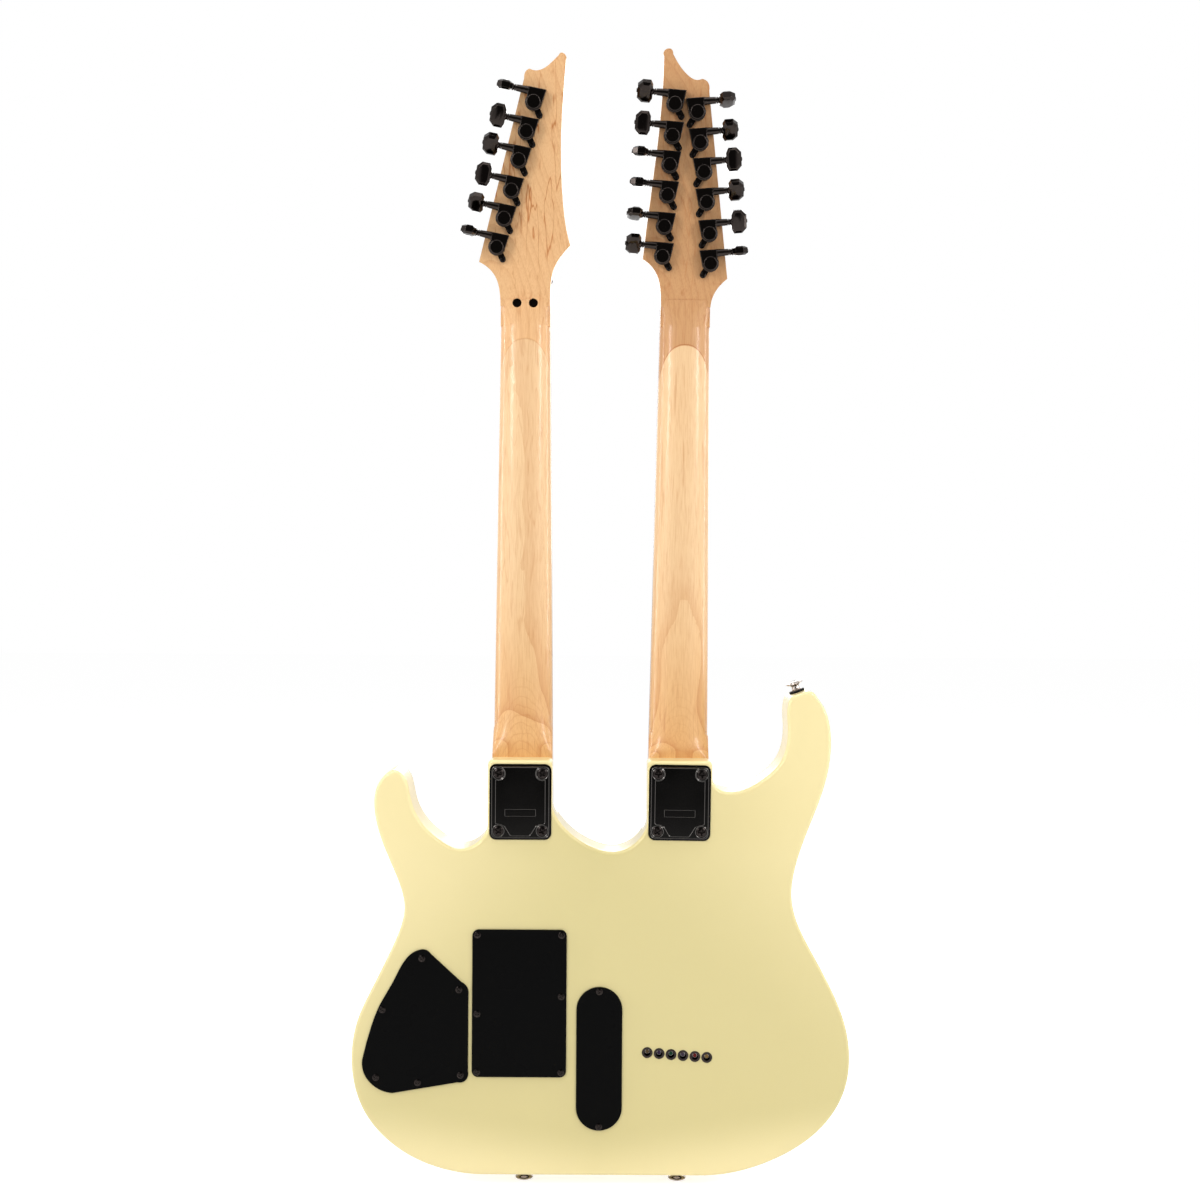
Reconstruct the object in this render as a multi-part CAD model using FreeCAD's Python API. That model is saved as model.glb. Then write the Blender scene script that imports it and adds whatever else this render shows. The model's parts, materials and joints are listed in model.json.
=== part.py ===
import FreeCAD, Part
import os
from math import atan2, cos, degrees, pi, radians, sin, sqrt, tan

# A solid-body electric guitar with two bolt-on necks, six strings on one and twelve on the other.
# Millimetres. The flat back face is y = 0 and the front looks along +Y. +Z runs up the six-string
# neck, which stands at -X, and x = 0 lies midway between the two bridges.

V = FreeCAD.Vector

# Driving sizes of the whole instrument
scale_length = 648.0
bridge_x = 69.0
twelve_lean = 0.6
body_thickness = 42.0
body_half_width = 220.0
body_length = 428.0
body_tail_z = -255.0
lip_share = 0.854
overrun = 6.0
touch_fit = 0.02
running_fit = 0.05
free_gap = 0.3

# Body outline, as shares of the half width and of the length above the tail
treble_half_shares = [
    (-0.445, 0.722), (-0.480, 0.687), (-0.562, 0.671), (-0.636, 0.689), (-0.698, 0.717),
    (-0.743, 0.755), (-0.761, 0.792), (-0.780, 0.819), (-0.820, 0.832), (-0.864, 0.819),
    (-0.892, 0.795), (-0.900, 0.759), (-0.883, 0.708), (-0.838, 0.647), (-0.792, 0.589),
    (-0.777, 0.549), (-0.794, 0.505), (-0.840, 0.450), (-0.911, 0.376), (-0.960, 0.320),
    (-0.985, 0.252), (-0.978, 0.194), (-0.934, 0.129), (-0.860, 0.080), (-0.723, 0.031),
    (-0.582, 0.007), (-0.455, 0.000)]
bass_half_shares = [
    (0.409, 0.000), (0.573, 0.010), (0.717, 0.036), (0.868, 0.085), (0.952, 0.135),
    (0.995, 0.184), (1.010, 0.241), (0.994, 0.307), (0.952, 0.367), (0.889, 0.431),
    (0.830, 0.486), (0.788, 0.537), (0.775, 0.578), (0.786, 0.628), (0.853, 0.731),
    (0.910, 0.815), (0.930, 0.892), (0.921, 0.937), (0.901, 0.966), (0.876, 0.985),
    (0.853, 0.998), (0.829, 0.999)]
bass_cutaway_shares = [
    (0.778, 0.990), (0.756, 0.971), (0.756, 0.921), (0.730, 0.856), (0.648, 0.814),
    (0.539, 0.791), (0.475, 0.799), (0.454, 0.820)]
middle_cutaway_shares = [
    (0.194, 0.731), (0.172, 0.699), (0.127, 0.677), (0.060, 0.666), (-0.020, 0.675),
    (-0.088, 0.694), (-0.155, 0.727), (-0.187, 0.766)]
lip_corner_r = 4.0
body_edge_r = 3.0

# Necks, fingerboards and frets
neck_width_nut = 44.8
neck_width_end = 55.8
pocket_length = 88.5
board_top_y = 51.0
board_thickness = 6.0
board_radius = 400.0
shaft_back_nut_y = 32.0
shaft_back_heel_y = 30.0
shaft_fullness = 2.3
shaft_heel_rise = 39.5
shaft_nut_drop = 14.0
pocket_depth = 16.0
heel_side_rise_6 = 2.5
heel_arch_rise_6 = 24.2
heel_side_rise_12 = -3.0
heel_arch_rise_12 = 13.3
heel_slope = 12.0
heel_slope_rise = 22.0
treble_wall_drop_6 = 66.5
bass_wall_drop_6 = 50.5
treble_wall_drop_12 = 64.5
bass_wall_drop_12 = 24.5
wall_reach = 11.0
fret_count = 24
last_fret_run = 6.0
fret_width = 2.4
fret_height = 1.1
fret_inset = 0.4
truss_r = 2.5
truss_channel_depth = 10.0
truss_start_rise = 38.0
truss_nut_r = 3.2
truss_nut_length = 12.0
truss_end_rise = 30.0
truss_access_rise = 42.0

# Headstocks: slabs tilted back, outlines as shares of the half width and of the length
head_break_rise = 12.0
head_tilt = 13.0
head_thickness = 14.5
head_length = 210.0
head_half_width = 41.0
six_foot_shares = [(0.546, -0.029), (0.559, 0.060), (0.624, 0.124), (0.780, 0.178), (0.993, 0.225)]
six_right_shares = [(0.993, 0.225), (0.902, 0.295), (0.837, 0.390), (0.800, 0.501), (0.795, 0.687),
                    (0.851, 0.870), (0.893, 0.970)]
six_tip_shares = [(0.893, 0.970), (0.876, 0.993), (0.805, 1.000), (0.741, 0.990)]
six_top_shares = [(0.741, 0.990), (0.578, 0.960), (0.420, 0.938), (0.263, 0.930), (0.124, 0.937)]
six_point_shares = [(0.124, 0.937), (0.059, 0.930), (0.005, 0.899)]
six_left_shares = [(0.005, 0.899), (-1.005, 0.155)]
six_left_foot_shares = [(-1.005, 0.155), (-0.807, 0.131), (-0.649, 0.093), (-0.568, 0.043),
                        (-0.546, -0.029)]
twelve_left_foot_shares = [(-0.546, -0.029), (-0.568, 0.046), (-0.641, 0.100), (-0.788, 0.142),
                           (-0.968, 0.168)]
twelve_left_shares = [(-0.968, 0.168), (-0.795, 0.476), (-0.620, 0.857), (-0.607, 0.986)]
twelve_tip_shares = [(-0.607, 0.986), (-0.588, 1.012), (-0.502, 1.018), (-0.417, 0.996)]
twelve_top_shares = [(-0.417, 0.996), (-0.254, 0.947), (-0.090, 0.914), (0.049, 0.898), (0.210, 0.901)]
twelve_point_shares = [(0.210, 0.901), (0.317, 0.892), (0.371, 0.853)]
twelve_right_shares = [(0.371, 0.853), (0.893, 0.092)]
twelve_right_foot_shares = [(0.893, 0.092), (0.727, 0.061), (0.612, 0.026), (0.546, -0.029)]

# Tuners: places of the string posts as shares, from the tip down, and the keys' rest turns
six_post_shares = [(0.212, 0.802), (0.054, 0.685), (-0.110, 0.571), (-0.273, 0.449), (-0.437, 0.335),
                   (-0.602, 0.217)]
twelve_left_post_shares = [(-0.364, 0.797), (-0.398, 0.671), (-0.439, 0.554), (-0.471, 0.433),
                           (-0.524, 0.305), (-0.546, 0.182)]
twelve_right_post_shares = [(0.118, 0.766), (0.198, 0.646), (0.298, 0.528), (0.373, 0.406),
                            (0.456, 0.278), (0.500, 0.155)]
six_turns = [90.0, 10.0, 40.0, 0.0, 50.0, 80.0]
twelve_left_turns = [40.0, 5.0, 85.0, 90.0, 75.0, 45.0]
twelve_right_turns = [70.0, 45.0, 0.0, 40.0, 10.0, 85.0]
six_tuner_tilt = 11.3
twelve_left_tilt = 4.0
twelve_right_tilt = 5.0
post_r = 3.0
post_rise = 9.5
string_rise = 7.4
lower_string_rise = 5.4
bushing_r = 4.9
bushing_washer_r = 7.0
bushing_washer_thickness = 1.0
bushing_nut_across = 11.0
bushing_nut_thickness = 2.2
can_r = 7.6
can_height = 8.6
cap_r = 6.4
cap_height = 10.8
cap_edge_r = 1.2
gear_r = 6.1
gear_floor = 1.5
gear_thickness = 5.6
worm_r = 2.3
worm_half_length = 4.6
shaft_offset = 8.7
shaft_r = 1.9
shaft_height = 4.9
block_near = 6.6
block_far = 9.2
block_top = 12.0
block_height = 9.4
block_edge_r = 0.9
sleeve_r_root = 3.5
sleeve_r_tip = 2.9
sleeve_end = 16.9
key_washer_r = 2.8
key_washer_thickness = 1.6
button_reach = 26.8
button_length = 13.4
button_width = 20.0
button_thickness = 8.6
button_corner = 4.2
button_edge_r = 1.7
button_screw_r = 2.0
button_screw_rise = 0.8
ear_x = 6.9
ear_z = -9.6
ear_r = 2.8
ear_thickness = 2.4
tuner_screw_r = 1.1
tuner_screw_head_r = 2.3
tuner_screw_head_rise = 1.5
tuner_screw_length = 9.0

# Nuts and string hold-downs
lock_nut_depth = 14.0
lock_nut_half_width = 21.6
clamp_length = 12.0
clamp_width = 13.2
clamp_pitch = 13.9
clamp_height = 3.4
clamp_gap = 0.7
clamp_screw_r = 2.3
clamp_screw_head_r = 3.2
clamp_screw_head_rise = 2.0
nut_bolt_offset = 7.4
nut_bolt_set_back = 5.5
nut_bolt_r = 1.9
nut_bolt_head_r = 4.1
nut_bolt_head_rise = 1.3
nut_bolt_hex_r = 1.9
nut12_depth = 5.0
nut12_rise = 0.6
bar_w = 15.5
bar_half_length = 23.4
bar_r = 2.2
bar_screw_inset = 2.0
bar_screw_r = 1.3
bar_screw_head_r = 2.4

# Strings: height, spreads at nut and bridge, and radii from the treble side up
string_y = 52.7
wire_bend_r = 2.5
six_spread_nut = 34.8
six_spread_bridge = 53.5
heavy_string_r = 0.58
six_string_shares = [0.224, 0.293, 0.379, 0.569, 0.793, 1.000]
course_spread_nut = 37.5
course_spread_bridge = 52.5
pair_gap_nut = 1.9
pair_gap_bridge = 2.4
course_string_shares = [0.224, 0.293, 0.379, 0.569, 0.741, 0.931]
octave_string_shares = [0.224, 0.293, 0.224, 0.293, 0.379, 0.466]

# Truss-rod covers on the heads' fronts
truss_cover_start = 20.5
truss_cover_length = 42.0
truss_cover_width_foot = 22.0
truss_cover_width_tip = 12.0
truss_cover_thickness = 2.0

# Neck plates and their screws
plate_drop = 36.5
plate_width = 54.6
plate_height = 66.6
plate_corner_r = 6.0
plate_gasket = 0.8
plate_thickness = 1.6
plate_inset = 2.2
plate_panel_rise = 0.5
panel_half_width = 21.8
panel_top_inset = 2.7
panel_foot_inset = 3.9
panel_foot_half_width = 8.6
panel_bend_x = 13.8
panel_bend_rise = 12.4
panel_side_rise = 14.7
plate_ring_r = 5.3
plate_ring_groove = 0.7
plate_label_width = 27.0
plate_label_height = 6.0
plate_label_depth = 0.3
plate_label_rise = 24.1
plate_screw_x = 19.25
plate_screw_z = 25.2
plate_screw_r = 2.2
plate_screw_head_r = 4.3
plate_screw_head_rise = 1.7
plate_screw_length = 41.0
cross_share = 0.62
cross_width_share = 0.20
cross_depth_share = 0.85

# Back covers, with their screws as places in the body's own x and z
cover_thickness = 2.0
cover_edge_r = 0.7
cover_ledge = 6.0
cover_screw_r = 1.4
cover_screw_head_r = 3.0
cover_screw_head_rise = 1.1
cover_screw_length = 12.0
tremolo_cover_width = 83.0
tremolo_cover_rise = 95.6
tremolo_cover_length = 129.6
tremolo_cover_corner_r = 5.5
tremolo_screw_inset = 4.5
tremolo_screw_mid_left_share = 0.57
tremolo_screw_mid_right_share = 0.45
switch_cover_x = 1.5
switch_cover_top_z = -88.5
switch_cover_width = 40.4
switch_cover_length = 126.0
switch_screw_inset = 3.6
control_cover_x = -207.0
control_cover_z = -182.5
control_cover_width = 93.2
control_cover_length = 126.2
control_left_shares = [(0.556, 1.000), (0.500, 0.988), (0.291, 0.778), (0.159, 0.604), (0.069, 0.422),
                       (0.003, 0.233)]
control_corner_shares = [(0.003, 0.233), (0.040, 0.106), (0.150, 0.030), (0.290, 0.000)]
control_foot_shares = [(0.290, 0.000), (0.905, 0.077)]
control_foot_corner_shares = [(0.905, 0.077), (0.976, 0.090), (1.000, 0.147)]
control_side_shares = [(1.000, 0.147), (1.000, 0.683)]
control_side_corner_shares = [(1.000, 0.683), (0.985, 0.742), (0.936, 0.773)]
control_slope_shares = [(0.936, 0.773), (0.640, 0.972)]
control_top_shares = [(0.640, 0.972), (0.600, 0.996), (0.556, 1.000)]
control_screw_shares = [(0.560, 0.940), (0.911, 0.724), (0.190, 0.582), (0.132, 0.110), (0.527, 0.076),
                        (0.930, 0.129)]
control_cavity_share = 0.82
cavity_front_wall = 6.0

# Pots, knobs, toggles and jack
pot_shares = [(0.708, 0.654), (0.376, 0.416)]
pot_r = 12.0
pot_height = 10.0
pot_bushing_r = 4.7
pot_bushing_rise = 2.6
pot_nut_across = 11.0
pot_nut_thickness = 2.0
pot_shaft_r = 3.0
pot_shaft_rise = 15.0
knob_r = 9.2
knob_foot_r = 9.8
knob_height = 14.0
knob_lift = 3.2
knob_skirt_bore_r = 6.8
knob_skirt_depth = 2.4
toggle_drop_shares = [0.187, 0.790]
toggle_body_width = 14.0
toggle_body_length = 24.0
toggle_body_height = 16.0
toggle_collar_r = 6.0
toggle_collar_rise = 3.0
toggle_ball_r = 2.6
toggle_stem_r = 1.5
toggle_tip_r = 3.0
toggle_height = 20.0
toggle_tip_length = 10.0
jack_z = -150.0
jack_pocket_depth = 4.7
jack_pocket_r = 10.0
jack_flange_r = 9.0
jack_flange_thickness = 1.2
jack_nut_across = 14.0
jack_nut_thickness = 2.0
jack_barrel_r = 5.5
jack_bore_r = 3.2
jack_bore_length = 24.0
jack_inner_length = 27.0

# Pickups
pickup_width = 70.0
pickup_height = 37.0
pickup_corner_r = 3.0
pickup_top_y = 48.6
pickup_pocket_depth = 20.0
pickup_pocket_gap = 0.8
neck_pickup_drop = 23.0
bridge_pickup_rise = 41.0
pole_r = 2.4
pole_rise = 0.4
pole_row = 9.2

# Floating tremolo
tremolo_pivot_rise = 9.0
tremolo_lift = 2.4
tremolo_plate_thickness = 3.4
tremolo_half_width = 43.0
tremolo_front_half_width = 45.0
tremolo_length = 52.0
tremolo_front_reach = 2.0
stud_x = 37.0
stud_r = 3.4
stud_head_r = 4.0
stud_notch_gap = 1.3
stud_head_thickness = 1.6
stud_bushing_r = 6.0
stud_bushing_length = 14.0
recess_depth = 8.0
recess_side_gap = 4.0
recess_front = 8.0
recess_tail = 12.0
spring_cavity_depth = 17.0
block_slot_half_width = 36.0
block_slot_top = 3.0
tremolo_block_half_width = 31.0
tremolo_block_front = 8.0
tremolo_block_thickness = 13.0
tremolo_block_back_y = 7.0
saddle_pitch_share = 0.96
saddle_front_rise = 4.0
saddle_length = 27.0
saddle_nose = 7.0
saddle_clamp_rise = 2.6
saddle_grip = 5.0
saddle_bolt_r = 1.8
saddle_bolt_reach = 10.0
tuner_lip_thickness = 8.0
tuner_lip_rise = 9.0
fine_screw_r = 3.6
fine_screw_stem_r = 1.6
fine_screw_height = 7.0
spring_count = 3
spring_pitch = 18.0
spring_r = 3.6
spring_wire_r = 0.6
spring_y = 10.5
spring_end_gap = 6.0
claw_drop = 13.6
claw_half_width = 28.0
claw_height = 10.0
claw_thickness = 2.2
claw_screw_r = 1.8
claw_screw_x = 9.0
claw_screw_length = 26.0
claw_screw_head_r = 3.6

# Tremolo arm
arm_x = -48.0
arm_drop = 2.0
arm_collar_r = 5.6
arm_collar_height = 9.0
arm_ear = 7.0
arm_r = 2.6
arm_rise = 25.0
arm_bend_r = 9.0
arm_reach = 128.0
arm_climb = 16.0
arm_tip_r = 3.8
arm_tip_length = 16.0
arm_turn = -8.0

# Fixed bridge of the twelve-string side
bridge_half_width = 43.0
bridge_front_rise = 15.0
bridge_length = 43.0
bridge_plate_thickness = 2.4
bridge_lip_rise = 8.6
bridge_lip_thickness = 2.6
bridge_saddle_width = 9.4
bridge_saddle_length = 12.0
bridge_saddle_nose = 2.0
bridge_saddle_tail_drop = 7.4
bridge_screw_r = 1.5
bridge_screw_shares = [-0.86, -0.3, 0.3, 0.86]
saddle_screw_r = 1.2
ball_r = 1.9
ball_length = 4.2
ferrule_set_back = 14.0
ferrule_drop = 3.4
ferrule_flange_r = 4.75
ferrule_flange_rise = 0.8
ferrule_barrel_r = 3.8
ferrule_length = 12.0
ferrule_bore_r = 2.9
string_hole_r = 1.5
ball_set = 3.0

# Strap buttons
end_button_shares = [-0.2945, 0.3255]
button_mid_y = 21.0
strap_washer_r = 7.0
strap_washer_thickness = 1.8
strap_shank_r = 3.6
strap_shank_length = 5.4
strap_head_r = 8.0
strap_head_thickness = 3.2
strap_screw_r = 2.0
strap_screw_length = 24.0
strap_screw_head_r = 3.4

# Values worked out from the sizes above
lip_z = body_tail_z + lip_share * body_length
board_end_z = lip_z - pocket_length
saddle_z = board_end_z + last_fret_run - scale_length * 0.5 ** (fret_count / 12)
nut_z = saddle_z + scale_length
pocket_floor_y = body_thickness - pocket_depth
board_foot_y = board_top_y - board_thickness
cavity_floor_y = body_thickness - cavity_front_wall
head_lean = radians(head_tilt)
shaft_heel_z = lip_z + shaft_heel_rise
shaft_nut_z = nut_z - shaft_nut_drop
head_break_z = nut_z + head_break_rise
truss_start_z = board_end_z + truss_start_rise
truss_end_z = nut_z + truss_end_rise
truss_access_z = nut_z + truss_access_rise
six_string_radii = [share * heavy_string_r for share in six_string_shares]
course_radii = [share * heavy_string_r for share in course_string_shares]
octave_radii = [share * heavy_string_r for share in octave_string_shares]
plate_z = lip_z - plate_drop
neck_pickup_z = board_end_z - neck_pickup_drop
bridge_pickup_z = saddle_z + bridge_pickup_rise
tremolo_cover_top_z = saddle_z + tremolo_cover_rise
tremolo_pivot_z = saddle_z + tremolo_pivot_rise
saddle_front_z = saddle_z + saddle_front_rise
claw_z = tremolo_cover_top_z - claw_drop
arm_z = saddle_z - arm_drop
bridge_front_z = saddle_z + bridge_front_rise
ferrule_z = saddle_z - ferrule_set_back
pot_places = [(control_cover_x + x * control_cover_width, control_cover_z + z * control_cover_length)
              for x, z in pot_shares]
toggle_zs = [switch_cover_top_z - share * switch_cover_length for share in toggle_drop_shares]
end_button_xs = [share * body_half_width for share in end_button_shares]
X_AXIS = V(1, 0, 0)
Y_AXIS = V(0, 1, 0)
Z_AXIS = V(0, 0, 1)
ZERO = V(0, 0, 0)


def box(x0, x1, y0, y1, z0, z1):
    return Part.makeBox(x1 - x0, y1 - y0, z1 - z0, V(x0, y0, z0))


def rod(radius, start, end):
    way = end.sub(start)
    return Part.makeCylinder(radius, way.Length, start, way)


def taper(start_r, end_r, start, end):
    way = end.sub(start)
    return Part.makeCone(start_r, end_r, way.Length, start, way)


def pipe_path(radius, points):
    """One wire through straight runs, with a short round bend between them."""
    edges = []
    start = points[0]
    for before, corner, after in zip(points, points[1:], points[2:]):
        back, on = before.sub(corner).normalize(), after.sub(corner).normalize()
        half = (pi - back.getAngle(on)) / 2
        run = wire_bend_r * tan(half)
        low, high = stretch(corner, back, run), stretch(corner, on, run)
        inward = V(back).add(on).normalize()
        mid = stretch(corner, inward, wire_bend_r * (1 / cos(half) - 1))
        edges += [Part.makeLine(start, low), Part.Arc(low, mid, high).toShape()]
        start = high
    edges.append(Part.makeLine(start, points[-1]))
    ring = Part.Wire(Part.makeCircle(radius, points[0], points[1].sub(points[0])))
    return Part.Wire(edges).makePipeShell([ring], True, False)


def joined(pieces):
    """One solid from pieces that meet."""
    return pieces[0].fuse(pieces[1:]).removeSplitter()


def group(pieces):
    """Separate solids that share one name."""
    solids = []
    for piece in pieces:
        solids.extend(piece.Solids)
    return Part.makeCompound(solids)


def prism(edges, y0, y1):
    """A face bounded by edges that lie at y = 0, pushed from y0 to y1."""
    face = Part.Face(Part.Wire(edges))
    face.translate(V(0, y0, 0))
    return face.extrude(V(0, y1 - y0, 0))


def lines(points, closed=False):
    ring = points + points[:1] if closed else points
    return [Part.makeLine(a, b) for a, b in zip(ring, ring[1:])]


def curve(points, start=None, end=None):
    """A smooth edge through points, leaving and arriving in given directions if they are given."""
    spline = Part.BSplineCurve()
    if start is None:
        spline.interpolate(points)
        return spline.toShape()
    ways = [V(start).normalize() for point in points]
    ways[-1] = V(end).normalize()
    held = [point in (points[0], points[-1]) for point in points]
    spline.interpolate(Points=points, Tangents=ways, TangentFlags=held, Scale=False)
    return spline.toShape()


def rounded(x0, x1, z0, z1, radius):
    """Edges of a rectangle with round corners, at y = 0."""
    edges = []
    centres = [(x1 - radius, z1 - radius), (x0 + radius, z1 - radius),
               (x0 + radius, z0 + radius), (x1 - radius, z0 + radius)]
    ends = []
    for quarter, (cx, cz) in enumerate(centres):
        marks = [V(cx + radius * cos((quarter + part) * pi / 2), 0,
                   cz + radius * sin((quarter + part) * pi / 2)) for part in (0.0, 0.5, 1.0)]
        edges.append(Part.Arc(*marks).toShape())
        ends.append((marks[0], marks[2]))
    for quarter in range(4):
        start, end = ends[quarter][1], ends[(quarter + 1) % 4][0]
        if start.sub(end).Length > touch_fit:
            edges.append(Part.makeLine(start, end))
    return Part.__sortEdges__(edges)


def hexagon(across, y0, y1, x=0.0, z=0.0):
    corner = across / sqrt(3)
    points = [V(x + corner * cos(step * pi / 3), 0, z + corner * sin(step * pi / 3))
              for step in range(6)]
    return prism(lines(points, True), y0, y1)


def face_edges(shape, *levels):
    """Edges that lie wholly at one of the given y levels."""
    found = []
    for edge in shape.Edges:
        span = edge.BoundBox
        if span.YLength < touch_fit and min(abs(span.Center.y - level) for level in levels) < touch_fit:
            found.append(edge)
    return found


def screw(shank_r, head_r, head_rise, length, across=0.0):
    """A screw along +Y from a head that stands below y = 0, with a cross or a hex socket."""
    head = Part.makeCone(head_r, head_r * (1 - cross_width_share), head_rise, ZERO, V(0, -1, 0))
    shank = Part.makeCylinder(shank_r, length, ZERO, Y_AXIS)
    body = joined([head, shank])
    depth = head_rise * cross_depth_share
    if across:
        return body.cut(hexagon(across, -head_rise - overrun, depth - head_rise))
    arm = head_r * cross_share
    wing = head_r * cross_width_share / 2
    low, high = -head_rise - overrun, depth - head_rise
    body = body.cut(box(-arm, arm, low, high, -wing, wing))
    return body.cut(box(-wing, wing, low, high, -arm, arm))


def moved(shape, x=0.0, y=0.0, z=0.0):
    copy = shape.copy()
    copy.translate(V(x, y, z))
    return copy


def seat(shape, unit):
    """Bring a piece from a neck's own frame to its side of the body."""
    copy = shape.copy()
    if unit == 12:
        copy.rotate(V(0, 0, saddle_z), Y_AXIS, twelve_lean)
        copy.translate(V(bridge_x, 0, 0))
    else:
        copy.translate(V(-bridge_x, 0, 0))
    return copy


def on_head(shape):
    """Bring a piece from the headstock's own frame, front face y = 0, to the neck's frame."""
    copy = shape.copy()
    copy.rotate(ZERO, X_AXIS, head_tilt)
    copy.translate(V(0, board_foot_y, head_break_z))
    return copy


def head_point(u, h, w):
    y = board_foot_y + h * cos(head_lean) - w * sin(head_lean)
    z = head_break_z + h * sin(head_lean) + w * cos(head_lean)
    return V(u, y, z)


def body_points(shares):
    return [V(x * body_half_width, 0, body_tail_z + z * body_length) for x, z in shares]


def head_points(shares):
    return [V(x * head_half_width, 0, z * head_length) for x, z in shares]


def neck_half_width(z):
    share = (nut_z - z) / (nut_z - board_end_z)
    return (neck_width_nut + share * (neck_width_end - neck_width_nut)) / 2


# Body

def lip_edges(foot_left, foot_right):
    """The square shoulder of the body that carries a neck, from its right foot to its left one."""
    x0, x1, r = foot_left.x, foot_right.x, lip_corner_r
    slant = r * (1 - 1 / sqrt(2))
    right = [V(x1, 0, lip_z - r), V(x1 - slant, 0, lip_z - slant), V(x1 - r, 0, lip_z)]
    left = [V(x0 + r, 0, lip_z), V(x0 + slant, 0, lip_z - slant), V(x0, 0, lip_z - r)]
    return [Part.makeLine(foot_right, right[0]), Part.Arc(*right).toShape(),
            Part.makeLine(right[2], left[0]), Part.Arc(*left).toShape(),
            Part.makeLine(left[2], foot_left)]


def body_outline():
    treble = body_points(treble_half_shares)
    bass = body_points(bass_half_shares)
    cutaway = body_points(bass_cutaway_shares)
    middle = body_points(middle_cutaway_shares)
    slope = cutaway[0].sub(bass[-1])
    edges = [curve(treble, V(0, 0, -1), V(1, 0, 0)), Part.makeLine(treble[-1], bass[0]),
             curve(bass, V(1, 0, 0), slope), Part.makeLine(bass[-1], cutaway[0]),
             curve(cutaway, slope, V(0, 0, 1))]
    edges += lip_edges(middle[0], cutaway[-1])
    edges.append(curve(middle, V(0, 0, -1), V(0, 0, 1)))
    return edges + lip_edges(treble[0], middle[-1])


def control_edges():
    def points(shares):
        return [V(control_cover_x + x * control_cover_width, 0,
                  control_cover_z + z * control_cover_length) for x, z in shares]
    parts = [control_left_shares, control_corner_shares, control_foot_shares,
             control_foot_corner_shares, control_side_shares, control_side_corner_shares,
             control_slope_shares, control_top_shares]
    edges = []
    for shares in parts:
        marks = points(shares)
        if len(marks) == 3:
            edges.append(Part.Arc(*marks).toShape())
        elif len(marks) == 2:
            edges += lines(marks)
        else:
            edges.append(curve(marks))
    return edges


def control_cavity():
    """Room for the pots: the cover's own outline, drawn in all round to leave the screws their wood."""
    face = Part.Face(Part.Wire(control_edges()))
    middle = V(control_cover_x + control_cover_width / 2, 0, control_cover_z + control_cover_length / 2)
    face.scale(control_cavity_share, middle)
    face.translate(V(0, -overrun, 0))
    return face.extrude(V(0, cavity_floor_y + overrun, 0))


def switch_edges(inset):
    half = switch_cover_width / 2 - inset
    top = switch_cover_top_z - inset
    foot = switch_cover_top_z - switch_cover_length + inset
    return rounded(switch_cover_x - half, switch_cover_x + half, foot, top, half)


def tremolo_edges(inset, radius):
    half = tremolo_cover_width / 2 - inset
    top = tremolo_cover_top_z - inset
    foot = tremolo_cover_top_z - tremolo_cover_length + inset
    return rounded(-bridge_x - half, -bridge_x + half, foot, top, radius)


def cover_screw_places():
    """Places of every back cover's screws."""
    half = tremolo_cover_width / 2 - tremolo_screw_inset
    top = tremolo_cover_top_z - tremolo_screw_inset
    foot = tremolo_cover_top_z - tremolo_cover_length + tremolo_screw_inset
    left_mid = tremolo_cover_top_z - tremolo_cover_length * tremolo_screw_mid_left_share
    right_mid = tremolo_cover_top_z - tremolo_cover_length * tremolo_screw_mid_right_share
    places = [(-bridge_x - half, z) for z in (top, left_mid, foot)]
    places += [(-bridge_x + half, z) for z in (top, right_mid, foot)]
    places.append((switch_cover_x, switch_cover_top_z - switch_screw_inset))
    places.append((switch_cover_x, switch_cover_top_z - switch_cover_length + switch_screw_inset))
    for x, z in control_screw_shares:
        places.append((control_cover_x + x * control_cover_width,
                       control_cover_z + z * control_cover_length))
    return places


def neck_pocket(unit):
    """Room for a neck's heel, open at the sides where the body is no wider than the neck."""
    low = board_end_z - running_fit
    half_low = neck_half_width(board_end_z) + running_fit
    half_top = neck_half_width(lip_z) + running_fit
    points = [V(-half_low, 0, low), V(half_low, 0, low), V(half_top, 0, lip_z + overrun),
              V(-half_top, 0, lip_z + overrun)]
    top = body_thickness + overrun
    room = prism(lines(points, True), pocket_floor_y, top)
    reach = half_low + wall_reach
    treble_drop, bass_drop = (treble_wall_drop_12, bass_wall_drop_12) if unit == 12 else (
        treble_wall_drop_6, bass_wall_drop_6)
    treble_z, bass_z = lip_z - treble_drop, lip_z - bass_drop
    room = room.fuse([box(-reach, 0, pocket_floor_y, top, treble_z, lip_z + overrun),
                      box(0, reach, pocket_floor_y, top, bass_z, lip_z + overrun)])
    return seat(room, unit)


def pickup_pocket(z):
    half = pickup_width / 2 + pickup_pocket_gap
    rise = pickup_height / 2 + pickup_pocket_gap
    return prism(rounded(-half, half, z - rise, z + rise, pickup_corner_r),
                 body_thickness - pickup_pocket_depth, body_thickness + overrun)


def plate_screw_places():
    return [(x, plate_z + z) for x in (-plate_screw_x, plate_screw_x)
            for z in (-plate_screw_z, plate_screw_z)]


def strap_places():
    """Seat and outward direction of each strap button."""
    places = [(V(x, button_mid_y, body_tail_z), V(0, 0, -1)) for x in end_button_xs]
    right, left = body_points(bass_half_shares)[-1], body_points(bass_cutaway_shares)[0]
    seat_line = left.sub(right)
    middle = right.add(left) * (1 / len((left, right)))
    outward = V(seat_line.z, 0, -seat_line.x).normalize()
    places.append((V(middle.x, button_mid_y, middle.z), outward))
    return places


def jack_seat():
    """How far across the floor of the jack's pocket lies: a named depth inside the body's edge."""
    face = Part.Face(Part.Wire(body_outline()))
    across = Part.makeLine(V(-body_half_width - overrun, 0, jack_z), V(0, 0, jack_z))
    return min(mark.X for mark in face.common(across).Vertexes) + jack_pocket_depth


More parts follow.
